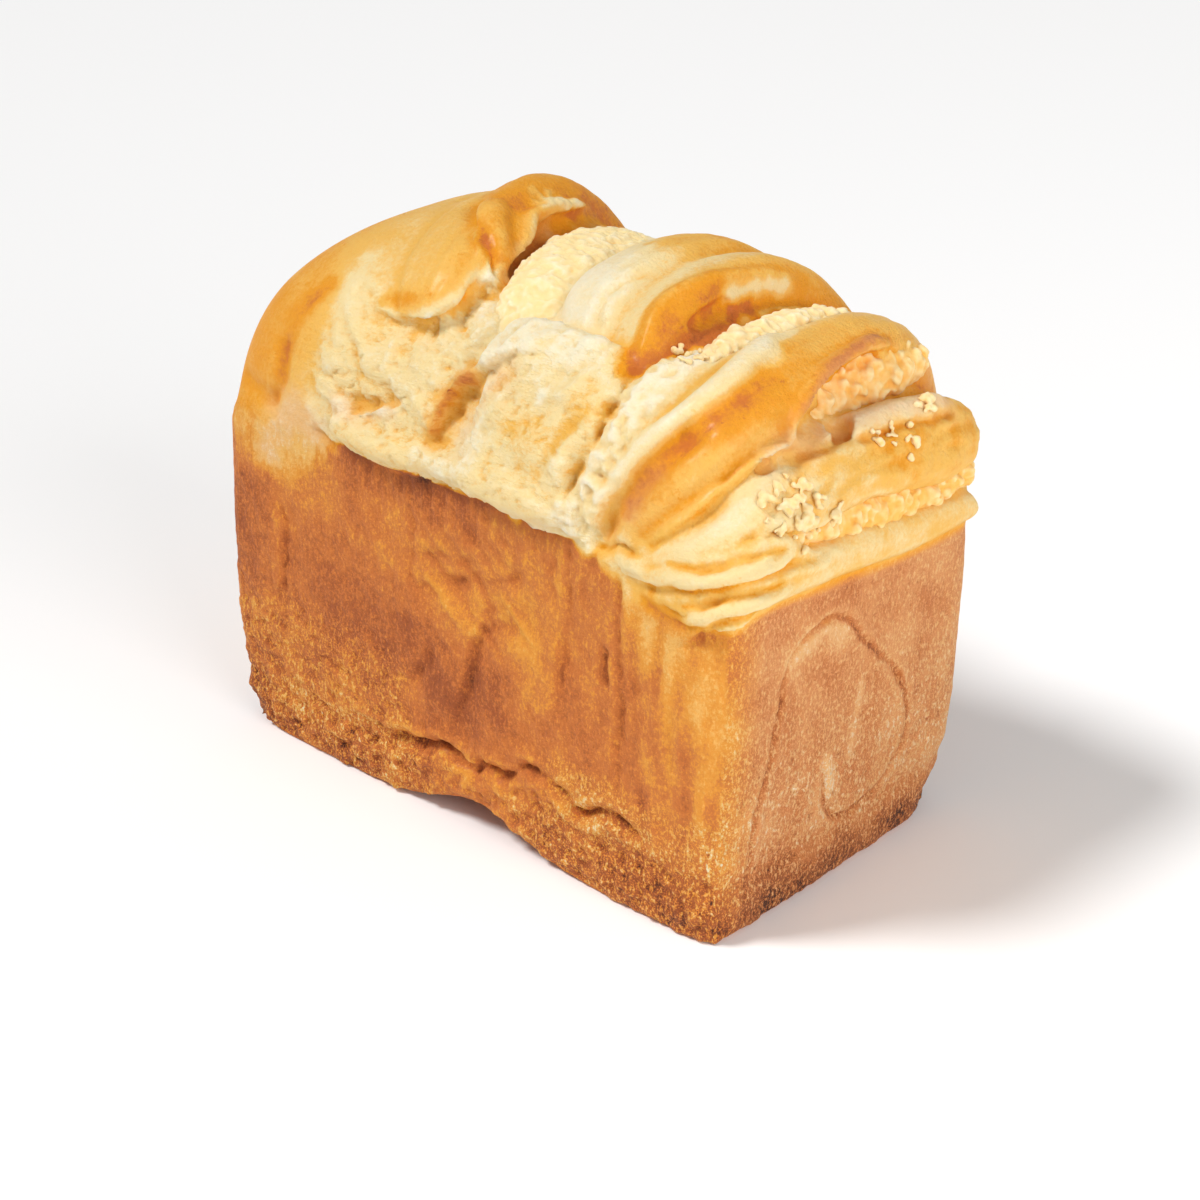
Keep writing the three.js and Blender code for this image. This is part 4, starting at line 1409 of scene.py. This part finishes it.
# Rolled edges take their own bake; the gaps take painted shade.
for lines, made, spread in ((roll_lines, ROLLS, ROLL_SPREAD), (gap_lines, GAPS, GAP_SPREAD)):
    for name, line in lines.items():
        radius, _, line_bake, _ = made[name]
        away = away_from(line, radius + spread + 1)
        weight = LINE_WEIGHT * (1 - ease(away, radius - 1, radius + spread))
        if name in TORN_LIPS:
            weight = weight * ease(z, *LIP_FOOT)
        bake = bake + weight * (line_bake - bake)
ragged_edge = noise(skin_points, (3, 3, 3), 35) + noise(skin_points, (8, 8, 8), 36)
dull = np.zeros(len(skin_points))
for name, (paint_bake, half, points) in PAINT.items():
    away = away_from(line_on_skin(skin_tree, points)[0], 3 * half)
    weight = bell(np.maximum(away + PAINT_RAGGED * half * ragged_edge, 0), half)
    bake = bake + weight * (paint_bake - bake)
    if name in DULL_PAINT:
        dull = np.maximum(dull, weight)
# Painted shade in the hollows and painted light on the crests, from the fine and the wide comparison with
# the smoothed skin.
bake = bake + 0.04 * noise(skin_points, 9, 12) + (0.07 + 0.06 * wall + 0.04 * torn) * cavity
bake = bake + (1 - wall) * (0.05 - 0.03 * torn) * wide_cavity
bake = bake + shares["corner_fold"] * 0.08 * noise(skin_points, 5, 15)
bake = bake + shares["torn_flap"] * 0.08 * noise(flap_way, (20, 9, 6), 51)
print("bake from", round(bake.min(), 2), "to", round(bake.max(), 2))

# %% [markdown]
# ## Gloss, dust, painted shade, flecks and threads
# Egg wash shines on the straps but not in hollows or on torn dough. The tin left the walls dull, with
# pale flecks low down and fine upright threads, and the shaded places among the painted ones take the
# same dull colours as painted shade. Each of these is one more number at the points, so the materials
# can read it like a painted mask.

# %% Masks for the material
DULL_AND_SHADE_DUST = 0.75

gloss = plain_share * (0.2 + 0.35 * ease(z, 100, 115))
gloss = gloss + sum(shares[name] * STRAP_GLOSS[name] for name in FOLDS)
gloss = gloss * (1 - ease(cavity, 0, 0.6)) * (1 - torn)
end_middle = ease(np.abs(skin_normals[:, 0]), 0.5, 0.9) * (1 - ease(-y, 36, 52))
# Dust on the walls, and painted shade where the dull painted places lie.
dust_and_shade = np.maximum(ease(wall, 0.2, 0.9) * (0.3 + 0.7 * end_middle), DULL_AND_SHADE_DUST * dull)
low_corner = side_wall * ease(x, 20, 50) * (1 - ease(z + 8 * noise(skin_points, 14, 16), 24, 46))
collar_fleck = (0.4 + 0.4 * ease(noise(skin_points, 20, 17), -0.2, 0.3)) * collar
end_fleck = end_wall * (0.5 + 0.5 * (1 - ease(z, 30, 80))) * (0.4 + 0.6 * ease(z, 4, 16))
fleck = np.clip(collar_fleck + 0.7 * spongy + low_corner + end_fleck, 0, 1)
fleck = np.maximum(fleck, 0.25 * wall)
dome = plain_share * ease(z, 104, 112) * ease(-x, 30, 45)
fibre = np.clip(under_lip_fibre + 0.4 * side_wall + 0.35 * end_wall + 0.25 * dome, 0, 1)


def store(piece, name, values):
    """Keep one number at each point of a piece, for its material to read."""
    layer = piece.data.attributes.new(name, "FLOAT", "POINT")
    layer.data.foreach_set("value", np.clip(values, 0, 1).astype(np.float32))


masks = dict(bake=bake, gloss=gloss, dust_and_shade=dust_and_shade, torn=torn, fleck=fleck, fibre=fibre)
for name, values in masks.items():
    store(loaf, name, values)
    print(name, "is", round(values.mean(), 2), "on average")

# %% [markdown]
# ## Loose crumbs
# A few crumbs of filling fell on the folds and stuck there. Each is two to five small lumps set on
# the skin near the middle of a heap. Geometry nodes could scatter instances, but a part for a library
# needs real mesh, so the lumps are joined and remeshed into one piece.

# %% Crumbs on the folds
LUMP_RINGS = 7
LUMP_AROUND = 10
CRUMB_VOXEL = 0.4
CRUMB_SEED = 77
CRUMB_DUST = 0.3
CRUMB_HEAPS = [
    # middle of the heap, spread, crumbs in it
    ((95, 10, 127), 1.4, 5), ((97, 15, 125), 1.4, 4), ((94, 3, 129), 1.2, 2),
    ((94, -34, 123), 1.8, 9), ((97, -24, 120), 1.6, 5), ((91, -30, 127), 1.0, 2),
    ((94, -28, 125), 1.4, 4), ((97, -30, 117), 2.2, 10), ((96, -38, 118), 1.6, 5),
    ((57, -27, 151), 2.0, 8), ((60, -18, 154), 2.0, 6), ((95, 26, 136), 2.4, 6),
    ((97, -18, 115), 1.8, 6),
]


def lump(centre, radius, rng):
    """A small uneven ball."""
    polar = np.pi * np.arange(1, LUMP_RINGS) / LUMP_RINGS
    angle = 2 * np.pi * np.arange(LUMP_AROUND) / LUMP_AROUND
    ball = np.stack(
        [
            np.sin(polar)[:, None] * np.cos(angle)[None],
            np.sin(polar)[:, None] * np.sin(angle)[None],
            np.repeat(np.cos(polar)[:, None], LUMP_AROUND, 1),
        ],
        -1,
    )
    squash = radius * rng.uniform(0.75, 1.25, 3)
    uneven = rng.uniform(0.92, 1.08, ball.shape[:2])[..., None]
    return tube(centre + ball * uneven * squash, centre + [0, 0, squash[2]], centre - [0, 0, squash[2]])


def crumb_heaps():
    """Loose crumbs of filling lying on the dough, each a few small lumps stuck together."""
    rng = np.random.default_rng(CRUMB_SEED)
    tubes = []
    for middle, spread, count in CRUMB_HEAPS:
        for _ in range(count):
            heart = np.array(middle) + rng.normal(0, spread, 3)
            size = 0.6 + 1.0 * rng.uniform() ** 2
            for _ in range(rng.integers(2, 6)):
                near = Vector(heart + rng.normal(0, 0.8 * size, 3))
                seat, out, _, _ = skin_tree.find_nearest(near)
                radius = size * rng.uniform(0.6, 1.0)
                tubes.append(lump(np.array(seat + out * radius * rng.uniform(0.4, 1.1)), radius, rng))
    piece = joined("coconut_crumbs", tubes)
    add_remesh(piece, CRUMB_VOXEL)
    apply_modifiers(piece)
    return piece


skin_tree = skin_tree_of(loaf)
crumbs = crumb_heaps()
crumb_points = read_points(crumbs)
store(crumbs, "bake", 0.14 + 0.12 * noise(crumb_points, 1.5, CRUMB_SEED + 1))
store(crumbs, "dust_and_shade", np.full(len(crumb_points), CRUMB_DUST))
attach(crumbs, "root")
print("crumbs:", len(crumbs.data.polygons), "faces")

# %% [markdown]
# ## Crumbly coconut filling
# Between the straps the coconut filling has burst out and set in lumps. Each band is a strap again,
# with lumps sown over its upper side and remeshed with it, so that they cling together like crumble.
# Noise alone gives waves, not crumbs, so it only roughens the lumps here.

# %% Bands of filling
LUMP_VOXEL = 0.55
SMALLEST_LUMP = 0.8
CORE_AROUND = 28
CORE_RINGS = 60
FILLING_ROUNDS = 8
BAND_SEED = 40
BANDS = {
    "coconut_filling_back": dict(
        lumps=120, largest=1.8, sunk=0.85, shrink=1.0, relief=1.0, pits=0.5, bake=0.1, dust_and_shade=0.0,
    ),
    "coconut_filling_middle": dict(
        lumps=300, largest=2.4, sunk=0.3, shrink=1.4, relief=0.6, pits=0.4, bake=0.12, dust_and_shade=0.1,
    ),
    # The corner and end bands have a higher bake and dust: painted shade from the folds over them.
    "coconut_filling_corner": dict(
        lumps=150, largest=3.3, sunk=0.3, shrink=1.6, relief=0.6, pits=0.5, bake=0.25, dust_and_shade=0.2,
    ),
    "coconut_filling_end": dict(
        lumps=200, largest=2.8, sunk=0.3, shrink=1.4, relief=0.6, pits=0.5, bake=0.28, dust_and_shade=0.2,
    ),
}


def filling_tubes(band, fold, rng):
    """The core of a band of filling and the lumps sown over its upper side."""
    tubes = [strap_tube(fold, -band["shrink"], CORE_AROUND, CORE_RINGS)]
    t = rng.uniform(0.03, 0.97, band["lumps"])
    centre, _, side, out, wide, deep = fold_frames(fold, t)
    angle = rng.uniform(0.05, 0.95, band["lumps"]) * np.pi
    seat = centre + side * (wide * np.cos(angle))[:, None] + out * (deep * np.sin(angle))[:, None]
    for place, way_out in zip(seat, unit(seat - centre)):
        radius = SMALLEST_LUMP + (band["largest"] - SMALLEST_LUMP) * rng.uniform() ** 2
        tubes.append(lump(place - way_out * (band["shrink"] + band["sunk"] * radius), radius, rng))
    return tubes


def filling_band(name, fold, seed):
    """A band of filling with lumps on it, in place of its solid."""
    band = BANDS[name]
    piece = joined(name + "_crumble", filling_tubes(band, fold, np.random.default_rng(seed)))
    add_remesh(piece, LUMP_VOXEL)
    apply_modifiers(piece)
    points = read_points(piece)
    normals = read_normals(piece)
    crumble = 0.7 * noise(points, 7, seed + 6) + 0.5 * noise(points, 3, seed + 1)
    crumble = crumble + 0.4 * noise(points, 1.6, seed + 4)
    pits = ease(noise(points, 3.6, seed + 3), 0.22, 0.42)
    points = points + normals * (band["relief"] * crumble - band["pits"] * pits)[:, None]
    write_points(piece, points)
    smooth = relax(piece, points, np.ones(len(points)), FILLING_ROUNDS)
    # Pits and hollows of the filling are painted darker: painted shade.
    hollow = hollowness(points, smooth, normals, -1, 1.5)
    store(piece, "bake", band["bake"] + 0.06 * noise(points, 6, seed + 2) + 0.2 * hollow)
    store(piece, "dust_and_shade", np.full(len(points), band["dust_and_shade"]))
    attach(piece, "root")
    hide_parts(name)
    return piece


bands = [filling_band(name, fold, BAND_SEED + i) for i, (name, fold) in enumerate(FILLINGS.items())]
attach(loaf, "root")
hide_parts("loaf")
for band in bands:
    print(band.name, len(band.data.polygons), "faces")

# %% [markdown]
# ## Colour of the bake
# Baking takes dough from cream over gold and chestnut to burnt. The walls that touched the tin go
# through duller, pinker browns, and the same dull row colours the painted shade in hollows, under folds
# and on the shaded bands of filling. Both materials need these colours, so they are built once as a
# shader node group: bake and dust with shade go in, a colour comes out. Colour ramps hold the two rows
# of colours, because their stops are easy to move by eye.

# %% Bake colours as a node group
BAKE_STOPS = {
    0.0: (255, 240, 207),
    0.2: (253, 224, 163),
    0.4: (250, 191, 88),
    0.56: (241, 159, 24),
    0.7: (214, 120, 45),
    0.85: (172, 88, 38),
    1.0: (84, 42, 22),
}
DUST_AND_SHADE_STOPS = {
    0.0: (255, 232, 200),
    0.4: (240, 186, 124),
    0.6: (224, 150, 90),
    0.75: (200, 118, 62),
    0.88: (152, 82, 40),
    1.0: (70, 38, 22),
}


def linear(colour):
    """A colour of 0 to 255 as Blender's linear values."""
    share = np.array(colour) / 255
    values = np.where(share <= 0.04045, share / 12.92, ((share + 0.055) / 1.055) ** 2.4)
    return (*values.tolist(), 1.0)


def ramp(tree, stops):
    """A colour ramp node with given stops."""
    made = tree.nodes.new("ShaderNodeValToRGB")
    made.color_ramp.interpolation = "EASE"
    elements = made.color_ramp.elements
    while len(elements) < len(stops):
        elements.new(0.5)
    for element, (place, colour) in zip(elements, sorted(stops.items())):
        element.position = place
        element.color = linear(colour)
    return made


bake_group = bpy.data.node_groups.new("bake colour", "ShaderNodeTree")
bake_group.interface.new_socket("Bake", in_out="INPUT", socket_type="NodeSocketFloat")
bake_group.interface.new_socket("Dust and shade", in_out="INPUT", socket_type="NodeSocketFloat")
bake_group.interface.new_socket("Color", in_out="OUTPUT", socket_type="NodeSocketColor")
inside = bake_group.nodes.new("NodeGroupInput")
outside = bake_group.nodes.new("NodeGroupOutput")
choose = bake_group.nodes.new("ShaderNodeMix")
choose.data_type = "RGBA"
for side, stops in (("A", BAKE_STOPS), ("B", DUST_AND_SHADE_STOPS)):
    colours = ramp(bake_group, stops)
    bake_group.links.new(inside.outputs["Bake"], colours.inputs["Fac"])
    bake_group.links.new(colours.outputs["Color"], choose.inputs[side])
bake_group.links.new(inside.outputs["Dust and shade"], choose.inputs["Factor"])
bake_group.links.new(choose.outputs["Result"], outside.inputs["Color"])
print("bake colours:", len(BAKE_STOPS), "crust stops,", len(DUST_AND_SHADE_STOPS), "wall stops")

# %% [markdown]
# ## Tools for the materials
# Both materials are made of the same few nodes: a number read from the points, a Noise Texture, a Map
# Range that cuts noise to a mask, and Math nodes that add masks up. Small helpers place and link
# them, so that a material reads like a recipe. Values that stay the same all over are set on the
# shader's own sockets.

# %% Helpers that place nodes
def set_inputs(node, values):
    """Set plain values on the sockets of a node."""
    for name, value in values.items():
        node.inputs[name].default_value = value


def attribute(tree, name):
    """The number stored at the points under a name."""
    made = tree.nodes.new("ShaderNodeAttribute")
    made.attribute_name = name
    return made.outputs["Fac"]


def math_node(tree, kind, first, second, third=None):
    """A Math node of two or three values, each a number or a socket."""
    made = tree.nodes.new("ShaderNodeMath")
    made.operation = kind
    for socket, value in zip(made.inputs, (first, second, third)):
        if value is None:
            continue
        if isinstance(value, (int, float)):
            socket.default_value = value
        else:
            tree.links.new(value, socket)
    return made.outputs[0]


def added(tree, start, parts):
    """A value with shares of other values added to it, one after the other."""
    total = start
    for value, share in parts:
        total = math_node(tree, "MULTIPLY_ADD", value, share, total)
    return total


def stretched(tree, place, scale):
    """Coordinates squeezed along each axis, so that noise over them comes out in streaks."""
    made = tree.nodes.new("ShaderNodeMapping")
    made.inputs["Scale"].default_value = scale
    tree.links.new(place, made.inputs["Vector"])
    return made.outputs["Vector"]


def noise_node(tree, place, scale, detail, rough, stretch=None):
    """Noise over the surface, about `scale` bumps a metre."""
    made = tree.nodes.new("ShaderNodeTexNoise")
    set_inputs(made, {"Scale": scale, "Detail": detail, "Roughness": rough})
    over = stretched(tree, place, stretch) if stretch else place
    tree.links.new(over, made.inputs["Vector"])
    return made.outputs["Fac"]


def limited(tree, value, low, high, first=0.0, last=1.0):
    """A value turned from one range to another and held inside it."""
    made = tree.nodes.new("ShaderNodeMapRange")
    set_inputs(made, {"From Min": low, "From Max": high, "To Min": first, "To Max": last})
    tree.links.new(value, made.inputs["Value"])
    return made.outputs["Result"]


def new_material(name):
    """An empty material with its Principled shader, node tree and object coordinates."""
    made = bpy.data.materials.new(name)
    made.use_nodes = True
    tree = made.node_tree
    shader = tree.nodes["Principled BSDF"]
    place = tree.nodes.new("ShaderNodeTexCoord").outputs["Object"]
    return made, tree, shader, place


def colour_by_bake(tree, shader, bake_value):
    """Colour a shader by the bake group, with the dust and painted shade that its points hold."""
    tint = tree.nodes.new("ShaderNodeGroup")
    tint.node_tree = bake_group
    tree.links.new(bake_value, tint.inputs["Bake"])
    tree.links.new(attribute(tree, "dust_and_shade"), tint.inputs["Dust and shade"])
    tree.links.new(tint.outputs["Color"], shader.inputs["Base Color"])


def add_bump(tree, shader, height, strength, distance):
    """Fine relief in the light only, from a height."""
    bump = tree.nodes.new("ShaderNodeBump")
    set_inputs(bump, {"Strength": strength, "Distance": distance})
    tree.links.new(height, bump.inputs["Height"])
    tree.links.new(bump.outputs["Normal"], shader.inputs["Normal"])


def dress(piece, material):
    """Give a piece its one material and smooth shading."""
    piece.data.materials.clear()
    piece.data.materials.append(material)
    piece.data.shade_smooth()


# %% [markdown]
# ## Baked dough
# Close up, a crust is never one colour: it has cloudy patches, grain, upright threads, pale flecks
# and freckles. Its pores and cracks are painted darker, as painted shade in them, and the raised flakes
# of torn dough a little paler, as painted light on them. Each is noise cut to a mask and held to its
# region, then added to the bake before the group turns that into a colour, so that all of them stay
# within the colours of real bread. Some masks feed a Bump node too, and a little subsurface scattering
# softens the light as crumb does.

# %% The dough's masks and what they do
DOUGH_MASKS = {
    # bumps a metre, detail, roughness, stretch, noise where the mask starts and is full, region
    "fleck": (1100, 3, 0.6, (1, 1, 0.55), 0.5, 0.64, "fleck"),
    "fine fleck": (1900, 2, 0.5, None, 0.53, 0.64, "fleck"),
    "speck": (420, 2, 0.5, None, 0.66, 0.7, "fleck"),
    "pore": (380, 3, 0.6, (1.1, 1, 0.9), 0.62, 0.74, "fleck"),
    "flake": (240, 6, 0.65, (0.7, 0.7, 1.3), 0.47, 0.54, "torn"),
    "freckle": (330, 3, 0.6, None, 0.62, 0.7, "gloss"),
}
# The darker pores and cracks are painted shade in them, and the paler flakes painted light on their
# raised tops.
BAKE_ADDED = {
    "patch": 0.2, "grain": 0.2, "thread": 0.16, "fleck": -0.36, "fine fleck": -0.24, "speck": -0.25,
    "pore": 0.16, "freckle": 0.1, "crack": 0.05, "flake": -0.04,
}
HEIGHT_ADDED = {"thread": 1.6, "fleck": 0.5, "pore": -0.8, "crack": -0.12, "flake": 0.12}
MIDDLE_OF_NOISE = 0.5
CRACK_WIDTH = 0.03
DULL_ROUGHNESS = 0.78
GLOSS_SMOOTHS = -0.42
GRAIN_ROUGHENS = 0.1
GLOSS_COAT = 0.3
DOUGH_VALUES = {
    "Specular IOR Level": 0.3,
    "Coat Roughness": 0.28,
    "Subsurface Weight": 0.25,
    "Subsurface Radius": (1.0, 0.75, 0.5),
    "Subsurface Scale": 0.003,
}
print("masks of the dough:", len(DOUGH_MASKS))

# %% Material of the dough
dough, tree, shader, place = new_material("baked_dough")
gloss_share = attribute(tree, "gloss")
grain = noise_node(tree, place, 800, 4, 0.65)
patch = noise_node(tree, place, 60, 5, 0.65)
thread = noise_node(tree, place, 700, 4, 0.65, (1, 1, 0.12))
thread = math_node(tree, "SUBTRACT", thread, MIDDLE_OF_NOISE)
crack = noise_node(tree, place, 210, 4, 0.6, (0.5, 0.5, 1.6))
crack = math_node(tree, "ABSOLUTE", math_node(tree, "SUBTRACT", crack, MIDDLE_OF_NOISE), 0)
crack = limited(tree, crack, 0.0, CRACK_WIDTH, 1.0, 0.0)
dough_masks = {
    "patch": math_node(tree, "SUBTRACT", patch, MIDDLE_OF_NOISE),
    "grain": math_node(tree, "SUBTRACT", grain, MIDDLE_OF_NOISE),
    "thread": math_node(tree, "MULTIPLY", thread, attribute(tree, "fibre")),
    "crack": math_node(tree, "MULTIPLY", crack, attribute(tree, "torn")),
}
for name, (scale, detail, rough, stretch, start, full, region) in DOUGH_MASKS.items():
    mask = limited(tree, noise_node(tree, place, scale, detail, rough, stretch), start, full)
    dough_masks[name] = math_node(tree, "MULTIPLY", mask, attribute(tree, region))
bake_parts = [(dough_masks[name], share) for name, share in BAKE_ADDED.items()]
colour_by_bake(tree, shader, added(tree, attribute(tree, "bake"), bake_parts))
shine = math_node(tree, "MULTIPLY_ADD", gloss_share, GLOSS_SMOOTHS, DULL_ROUGHNESS)
tree.links.new(added(tree, shine, [(grain, GRAIN_ROUGHENS)]), shader.inputs["Roughness"])
tree.links.new(math_node(tree, "MULTIPLY", gloss_share, GLOSS_COAT), shader.inputs["Coat Weight"])
height_parts = [(dough_masks[name], share) for name, share in HEIGHT_ADDED.items()]
height = added(tree, noise_node(tree, place, 750, 6, 0.7), height_parts)
add_bump(tree, shader, height, strength=0.8, distance=0.0013)
set_inputs(shader, DOUGH_VALUES)
dress(loaf, dough)
print("material", dough.name, "with", len(tree.nodes), "nodes")

# %% [markdown]
# ## Coconut filling
# The filling is sugar, butter and grated coconut: pale, dull and grainy all over. The bands at the
# corner and the end lie in the shade of the folds, and their higher bake and dust are painted shade. It
# takes the same bake colours as the dough, with grain and bump of its own.

# %% Material of the filling and the crumbs
FILLING_GRAIN = 0.14
FILLING_ROUGHNESS = 0.7
FILLING_GRAIN_ROUGHENS = 0.2
FILLING_VALUES = {
    "Specular IOR Level": 0.2,
    "Subsurface Weight": 0.3,
    "Subsurface Radius": (1.0, 0.75, 0.5),
    "Subsurface Scale": 0.003,
}

coconut, tree, shader, place = new_material("coconut_filling")
grain = noise_node(tree, place, 500, 4, 0.65)
colour_by_bake(tree, shader, added(tree, attribute(tree, "bake"), [(grain, FILLING_GRAIN)]))
filling_rough = added(tree, FILLING_ROUGHNESS, [(grain, FILLING_GRAIN_ROUGHENS)])
tree.links.new(filling_rough, shader.inputs["Roughness"])
add_bump(tree, shader, noise_node(tree, place, 800, 5, 0.7), strength=0.6, distance=0.0008)
set_inputs(shader, FILLING_VALUES)
for piece in bands + [crumbs]:
    dress(piece, coconut)
print("material", coconut.name, "with", len(tree.nodes), "nodes")

# %% [markdown]
# ## Camera
# The camera looks down on the front right corner, as in the picture of the loaf. A Track To
# constraint would aim it too, but the picture leans by one degree, so the matrix is built from three
# directions: right, up and back towards the camera.

# %% Camera at the picture's angle
CAMERA_TARGET = Vector((-0.00055, 0.00325, 0.05095))
CAMERA_DISTANCE = 0.7475
CAMERA_AZIMUTH = math.radians(41.5)
CAMERA_ELEVATION = math.radians(26.8)
CAMERA_ROLL = math.radians(0.96)
SENSOR_WIDTH = 36
FOCAL_LENGTH = 78

back = Vector((
    math.sin(CAMERA_AZIMUTH) * math.cos(CAMERA_ELEVATION),
    -math.cos(CAMERA_AZIMUTH) * math.cos(CAMERA_ELEVATION),
    math.sin(CAMERA_ELEVATION),
))
level = Vector((math.cos(CAMERA_AZIMUTH), math.sin(CAMERA_AZIMUTH), 0))
upright = back.cross(level)
right = level * math.cos(CAMERA_ROLL) + upright * math.sin(CAMERA_ROLL)
up = upright * math.cos(CAMERA_ROLL) - level * math.sin(CAMERA_ROLL)
camera = bpy.data.objects.new("camera", bpy.data.cameras.new("camera"))
bpy.context.scene.collection.objects.link(camera)
camera.data.sensor_width = SENSOR_WIDTH
camera.data.lens = FOCAL_LENGTH
camera.matrix_world = Matrix.Translation(CAMERA_TARGET + back * CAMERA_DISTANCE) @ Matrix((
    (right.x, up.x, back.x, 0),
    (right.y, up.y, back.y, 0),
    (right.z, up.z, back.z, 0),
    (0, 0, 0, 1),
))
bpy.context.scene.camera = camera
print("camera at", [round(value, 3) for value in camera.matrix_world.translation])

# %% [markdown]
# ## Floor and light
# The loaf stands on a pale floor in soft light: a broad sun from the front left, a weak softbox on
# the right and a white world that lifts the shadows. A sun lamp with a wide angle gives soft edges
# without the fall of brightness over distance that an area lamp has.

# %% Floor, world and lamps
FLOOR_HALF = 6
WORLD_STRENGTH = 0.32
SUN_STRENGTH = 2.22
SUN_ANGLE = math.radians(15)
SUN_WAY = Vector((0.45, 0.55, -1.0))
FILL_PLACE = (1.1, -0.25, 0.55)
FILL_AIM = (0, 0, 0.06)
FILL_SIZE = 0.8
FILL_POWER = 8.5
FLOOR_VALUES = {
    "Base Color": (0.97, 0.965, 0.96, 1),
    "Roughness": 0.9,
    "Specular IOR Level": 0.1,
}

floor_mesh = bpy.data.meshes.new("floor")
floor_corners = [
    (-FLOOR_HALF, -FLOOR_HALF, 0),
    (FLOOR_HALF, -FLOOR_HALF, 0),
    (FLOOR_HALF, FLOOR_HALF, 0),
    (-FLOOR_HALF, FLOOR_HALF, 0),
]
floor_mesh.from_pydata(floor_corners, [], [(0, 1, 2, 3)])
floor = bpy.data.objects.new("floor", floor_mesh)
bpy.context.scene.collection.objects.link(floor)
pale_floor, _, shader, _ = new_material("pale_floor")
set_inputs(shader, FLOOR_VALUES)
floor.data.materials.append(pale_floor)

world = bpy.data.worlds.new("studio")
bpy.context.scene.world = world
world.use_nodes = True
set_inputs(world.node_tree.nodes["Background"], {"Color": (1, 1, 1, 1), "Strength": WORLD_STRENGTH})


def add_lamp(name, kind, power, way):
    """A lamp of a kind and power that shines along a direction."""
    lamp = bpy.data.objects.new(name, bpy.data.lights.new(name, kind))
    lamp.data.energy = power
    lamp.rotation_euler = way.to_track_quat("-Z", "Y").to_euler()
    bpy.context.scene.collection.objects.link(lamp)
    return lamp


sun = add_lamp("key", "SUN", SUN_STRENGTH, SUN_WAY)
sun.data.angle = SUN_ANGLE
fill = add_lamp("right_fill", "AREA", FILL_POWER, Vector(FILL_AIM) - Vector(FILL_PLACE))
fill.data.size = FILL_SIZE
fill.location = FILL_PLACE
bpy.context.scene.view_settings.view_transform = "Standard"
print("lights:", [lamp.name for lamp in (sun, fill)])
